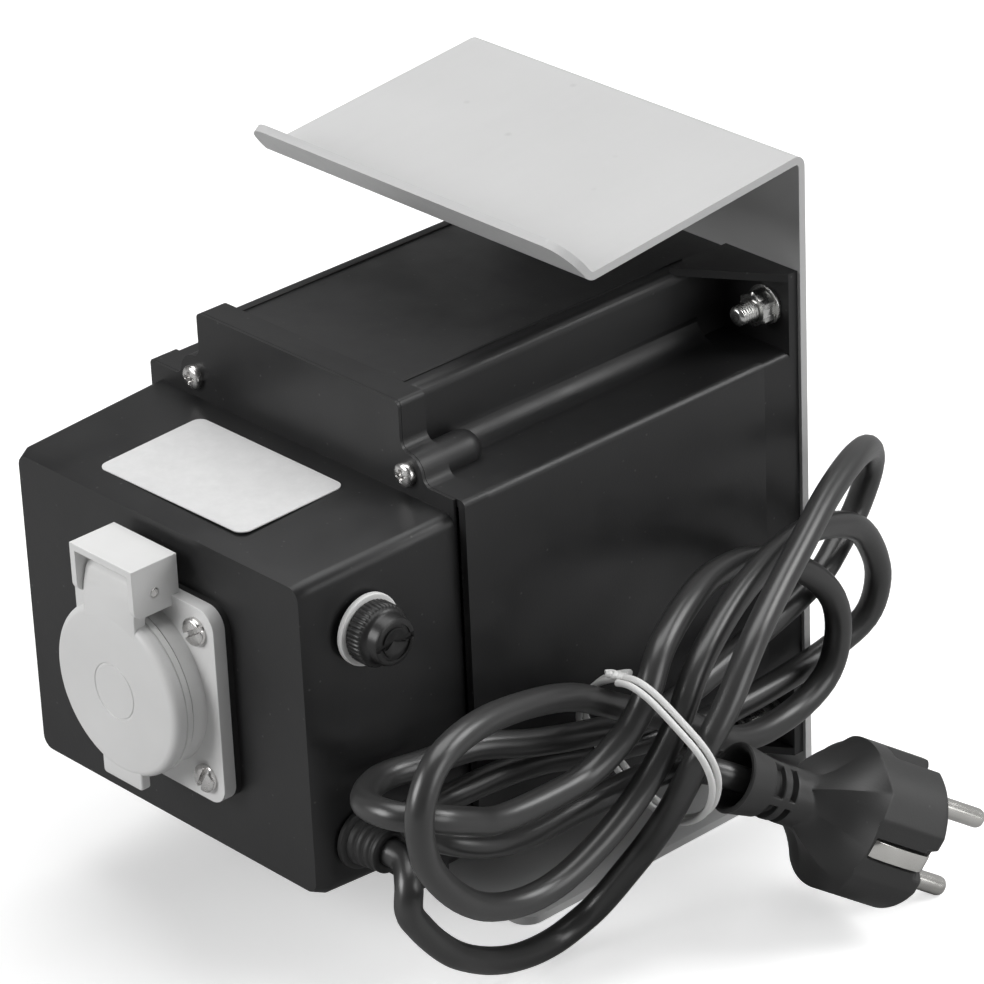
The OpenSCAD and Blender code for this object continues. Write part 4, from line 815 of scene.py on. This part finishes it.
def build_pivot():
    """The pivot pin with its ends peened to low domes, and the lid's spring wound round it."""
    profile = rounded([
        [0.02, -11.0], [1.0, -11.0], [1.25, -10.8], [1.25, 10.8], [1.0, 11.0], [0.02, 11.0]], 0.3, 4)
    rod = grid_shell(moved(turned(profile, 32), PIVOT, TO_RIGHT))
    make_piece("pivot_rod", [rod], SCREW, replaces=("lid_pivot_pin",), smooth_angle=50)
    turns = np.linspace(0, 5 * TURN, 160)
    wire = np.column_stack([
        -2.0 + 4.0 * turns / turns[-1], 1.75 * np.cos(turns), 1.75 * np.sin(turns)]) + np.array(PIVOT)
    make_piece("lid_coil_spring", [grid_shell(swept(wire, 0.36, 8))], SCREW,
               replaces=("lid_spring",), smooth_angle=60)


build_lid()
build_pivot()


# Fuse and gland

FUSE_AT = (51.0, -90.0, 97.0)
GLAND_AT = (0.33, -94.0, 44.5)


def build_fuse():
    """The fuse's knurled cap: fine ribs round its skirt, a stepped nose, and a slot across its face."""
    def ribbed(radius, height, angle):
        rib_h = 0.26
        rib = rib_h * np.abs(np.cos(20 * angle)) ** 0.7
        on_knurl = (height > 0.3) & (height < 4.4) & (radius > 6.9)
        return np.where(on_knurl, radius - rib_h + rib, radius)

    profile = [[0.02, -5.3], [4.8, -5.3], [4.85, 0.0], [7.2, 0.0], [7.5, 0.35], [7.5, 1.0],
               [7.5, 2.4], [7.5, 3.9], [7.2, 4.35], [6.7, 4.5], [6.2, 4.9], [5.95, 5.3],
               [5.85, 5.6], [5.85, 7.6], [5.6, 8.2], [5.2, 8.45],
               [4.4, 8.5], [4.3, 8.1], [3.6, 8.1], [3.5, 8.5], [2.4, 8.5], [0.02, 8.5]]
    cap = turned(profile, 240, ribbed)
    in_slot = (np.abs(cap[..., 1]) < 0.7) & (cap[..., 2] > 8.0) & (np.abs(cap[..., 0]) < 5.3)
    cap[..., 2] = np.where(in_slot, 7.6, cap[..., 2])
    at = (FUSE_AT[0] + 2.7, FUSE_AT[1], FUSE_AT[2])
    make_piece("fuse_knob", [grid_shell(moved(cap, at, TO_RIGHT))], FUSE, body="fuse_cap",
               replaces=("fuse_cap",), smooth_angle=32)
    ring = rounded([[6.1, 1.9], [6.1, 1.2], [8.6, 1.2], [8.6, 2.7], [6.1, 2.7], [6.1, 1.9]], 0.35, 4)
    ring_shell = grid_shell(moved(turned(ring, 96), FUSE_AT, TO_RIGHT), ends=False)
    make_piece("fuse_white_ring", [ring_shell], WHITE, replaces=("fuse_ring",),
               smooth_angle=40)


def build_gland():
    """The gland: a turned boot with shallow rings that tapers to the lead."""
    def ringed(radius, height, angle):
        groove = 0.45 * np.exp(-(((height - 53.6) % 2.2 - 1.1) / 0.45) ** 2)
        return np.where((height > 53.2) & (height < 60.2) & (radius > 4.4), radius - groove, radius)

    slope = np.linspace(53.0, 60.6, 40)
    profile = np.concatenate([
        [[3.3, 39.5], [6.1, 39.5], [6.15, 50.7], [7.1, 50.8],
         [7.5, 51.1], [7.5, 52.2], [7.1, 52.6], [6.2, 52.8]],
        np.column_stack([6.15 - 0.8 * (slope - 53) / 7.6, slope]),
        [[4.9, 60.95], [3.7, 61.0], [3.3, 60.7], [3.3, 39.5]]])
    boot = grid_shell(moved(turned(profile, 64, ringed), GLAND_AT, TO_RIGHT), ends=False)
    make_piece("gland_boot", [boot], RUBBER, replaces=("cable_gland",), smooth_angle=40)


build_fuse()
build_gland()


# Floor, light and background

def build_stage():
    """A wide pale floor: an even grid, flat, far past what the camera sees. To the camera it shows
    a white diffuse with its real shadows, plus a glow that is a little brighter to the right and far
    away. This glow is painted light, with painted shade at the near left. Other rays see a grey floor."""
    line = np.linspace(-4, 4, 9)
    x, y = np.meshgrid(line, line, indexing="ij")
    points = np.stack([x, y, np.full_like(x, -0.0001)], axis=-1)
    corners, faces = grid_shell(points, wrap=False, ends=False)
    mesh = bpy.data.meshes.new("floor")
    mesh.from_pydata(corners.tolist(), [], faces)
    mesh.update()
    floor = bpy.data.objects.new("floor", mesh)
    bpy.context.collection.objects.link(floor)
    material, tree, shader, place = start_material("pale_floor")
    tree.links.new(shade_between(tree, noise(tree, place, 3, 2), (0.42, 0.42, 0.42), (0.44, 0.44, 0.44)),
                   shader.inputs["Base Color"])
    shader.inputs["Roughness"].default_value = 0.7
    shader.inputs["Specular IOR Level"].default_value = 0.1
    shadowed = node(tree, "ShaderNodeBsdfDiffuse", Color=(0.9, 0.9, 0.9, 1))
    # Painted light: the glow's strength grows to the right and with distance, which leaves painted shade at
    # the near left
    painted_glow = node(tree, "ShaderNodeEmission", Color=(1, 1, 1, 1))
    parts = tree.nodes.new("ShaderNodeSeparateXYZ")
    tree.links.new(place, parts.inputs[0])
    rightward = node(tree, "ShaderNodeMapRange", From_Min=-0.02, From_Max=0.12, To_Min=0.3, To_Max=0.62)
    tree.links.new(parts.outputs["X"], rightward.inputs["Value"])
    reach = tree.nodes.new("ShaderNodeVectorMath")
    reach.operation = "LENGTH"
    tree.links.new(place, reach.inputs[0])
    far = node(tree, "ShaderNodeMapRange", From_Min=0.3, From_Max=1.2, To_Min=0.0, To_Max=0.7)
    tree.links.new(reach.outputs["Value"], far.inputs["Value"])
    both = tree.nodes.new("ShaderNodeMath")
    tree.links.new(rightward.outputs["Result"], both.inputs[0])
    tree.links.new(far.outputs["Result"], both.inputs[1])
    tree.links.new(both.outputs[0], painted_glow.inputs["Strength"])
    white = tree.nodes.new("ShaderNodeAddShader")
    tree.links.new(shadowed.outputs[0], white.inputs[0])
    tree.links.new(painted_glow.outputs[0], white.inputs[1])
    rays = tree.nodes.new("ShaderNodeLightPath")
    pick = tree.nodes.new("ShaderNodeMixShader")
    tree.links.new(rays.outputs["Is Camera Ray"], pick.inputs[0])
    tree.links.new(shader.outputs[0], pick.inputs[1])
    tree.links.new(white.outputs[0], pick.inputs[2])
    tree.links.new(pick.outputs[0], tree.nodes["Material Output"].inputs["Surface"])
    mesh.materials.append(material)


def add_lamp(name, place, aim, size, power):
    """A square soft box at a place, turned to face a point."""
    light = bpy.data.lights.new(name, "AREA")
    light.shape = "SQUARE"
    light.size = size
    light.energy = power
    lamp = bpy.data.objects.new(name, light)
    bpy.context.collection.objects.link(lamp)
    away = np.asarray(place, float) - np.asarray(aim, float)
    away /= np.linalg.norm(away)
    right = np.cross((0.0, 0.0, 1.0) if abs(away[2]) < 0.99 else (0.0, 1.0, 0.0), away)
    right /= np.linalg.norm(right)
    up = np.cross(away, right)
    lamp.matrix_world = Matrix(np.column_stack([right, up, away, place]).tolist() + [[0, 0, 0, 1]])


def light_scene():
    """Four soft boxes and a pale world, brighter behind, which the camera sees as white."""
    aim = (0.02, -0.02, 0.08)
    add_lamp("top_box", (-0.15, 0.1, 1.2), aim, 1.0, 8.5)
    add_lamp("front_box", (-0.45, -1.15, 0.65), aim, 0.7, 10.5)
    add_lamp("right_box", (1.25, 0.3, 0.45), aim, 0.7, 4)
    add_lamp("rear_box", (0.65, 0.8, 0.9), aim, 0.6, 6)
    world = bpy.data.worlds.new("pale_world")
    bpy.context.scene.world = world
    world.use_nodes = True
    tree = world.node_tree
    tree.nodes.clear()
    out = tree.nodes.new("ShaderNodeOutputWorld")
    seen = node(tree, "ShaderNodeBackground", Color=(1, 1, 1, 1), Strength=1.0)
    lit = node(tree, "ShaderNodeBackground", Color=(1, 1, 1, 1))
    parts = tree.nodes.new("ShaderNodeSeparateXYZ")
    tree.links.new(tree.nodes.new("ShaderNodeTexCoord").outputs["Generated"], parts.inputs[0])
    behind = node(tree, "ShaderNodeMapRange", From_Min=0.1, From_Max=0.8, To_Min=0.1, To_Max=0.4)
    tree.links.new(parts.outputs["Y"], behind.inputs["Value"])
    tree.links.new(behind.outputs["Result"], lit.inputs["Strength"])
    rays = tree.nodes.new("ShaderNodeLightPath")
    pick = tree.nodes.new("ShaderNodeMixShader")
    tree.links.new(rays.outputs["Is Camera Ray"], pick.inputs[0])
    tree.links.new(lit.outputs[0], pick.inputs[1])
    tree.links.new(seen.outputs[0], pick.inputs[2])
    tree.links.new(pick.outputs[0], out.inputs["Surface"])


build_stage()
light_scene()
bpy.context.scene.view_settings.view_transform = "Standard"
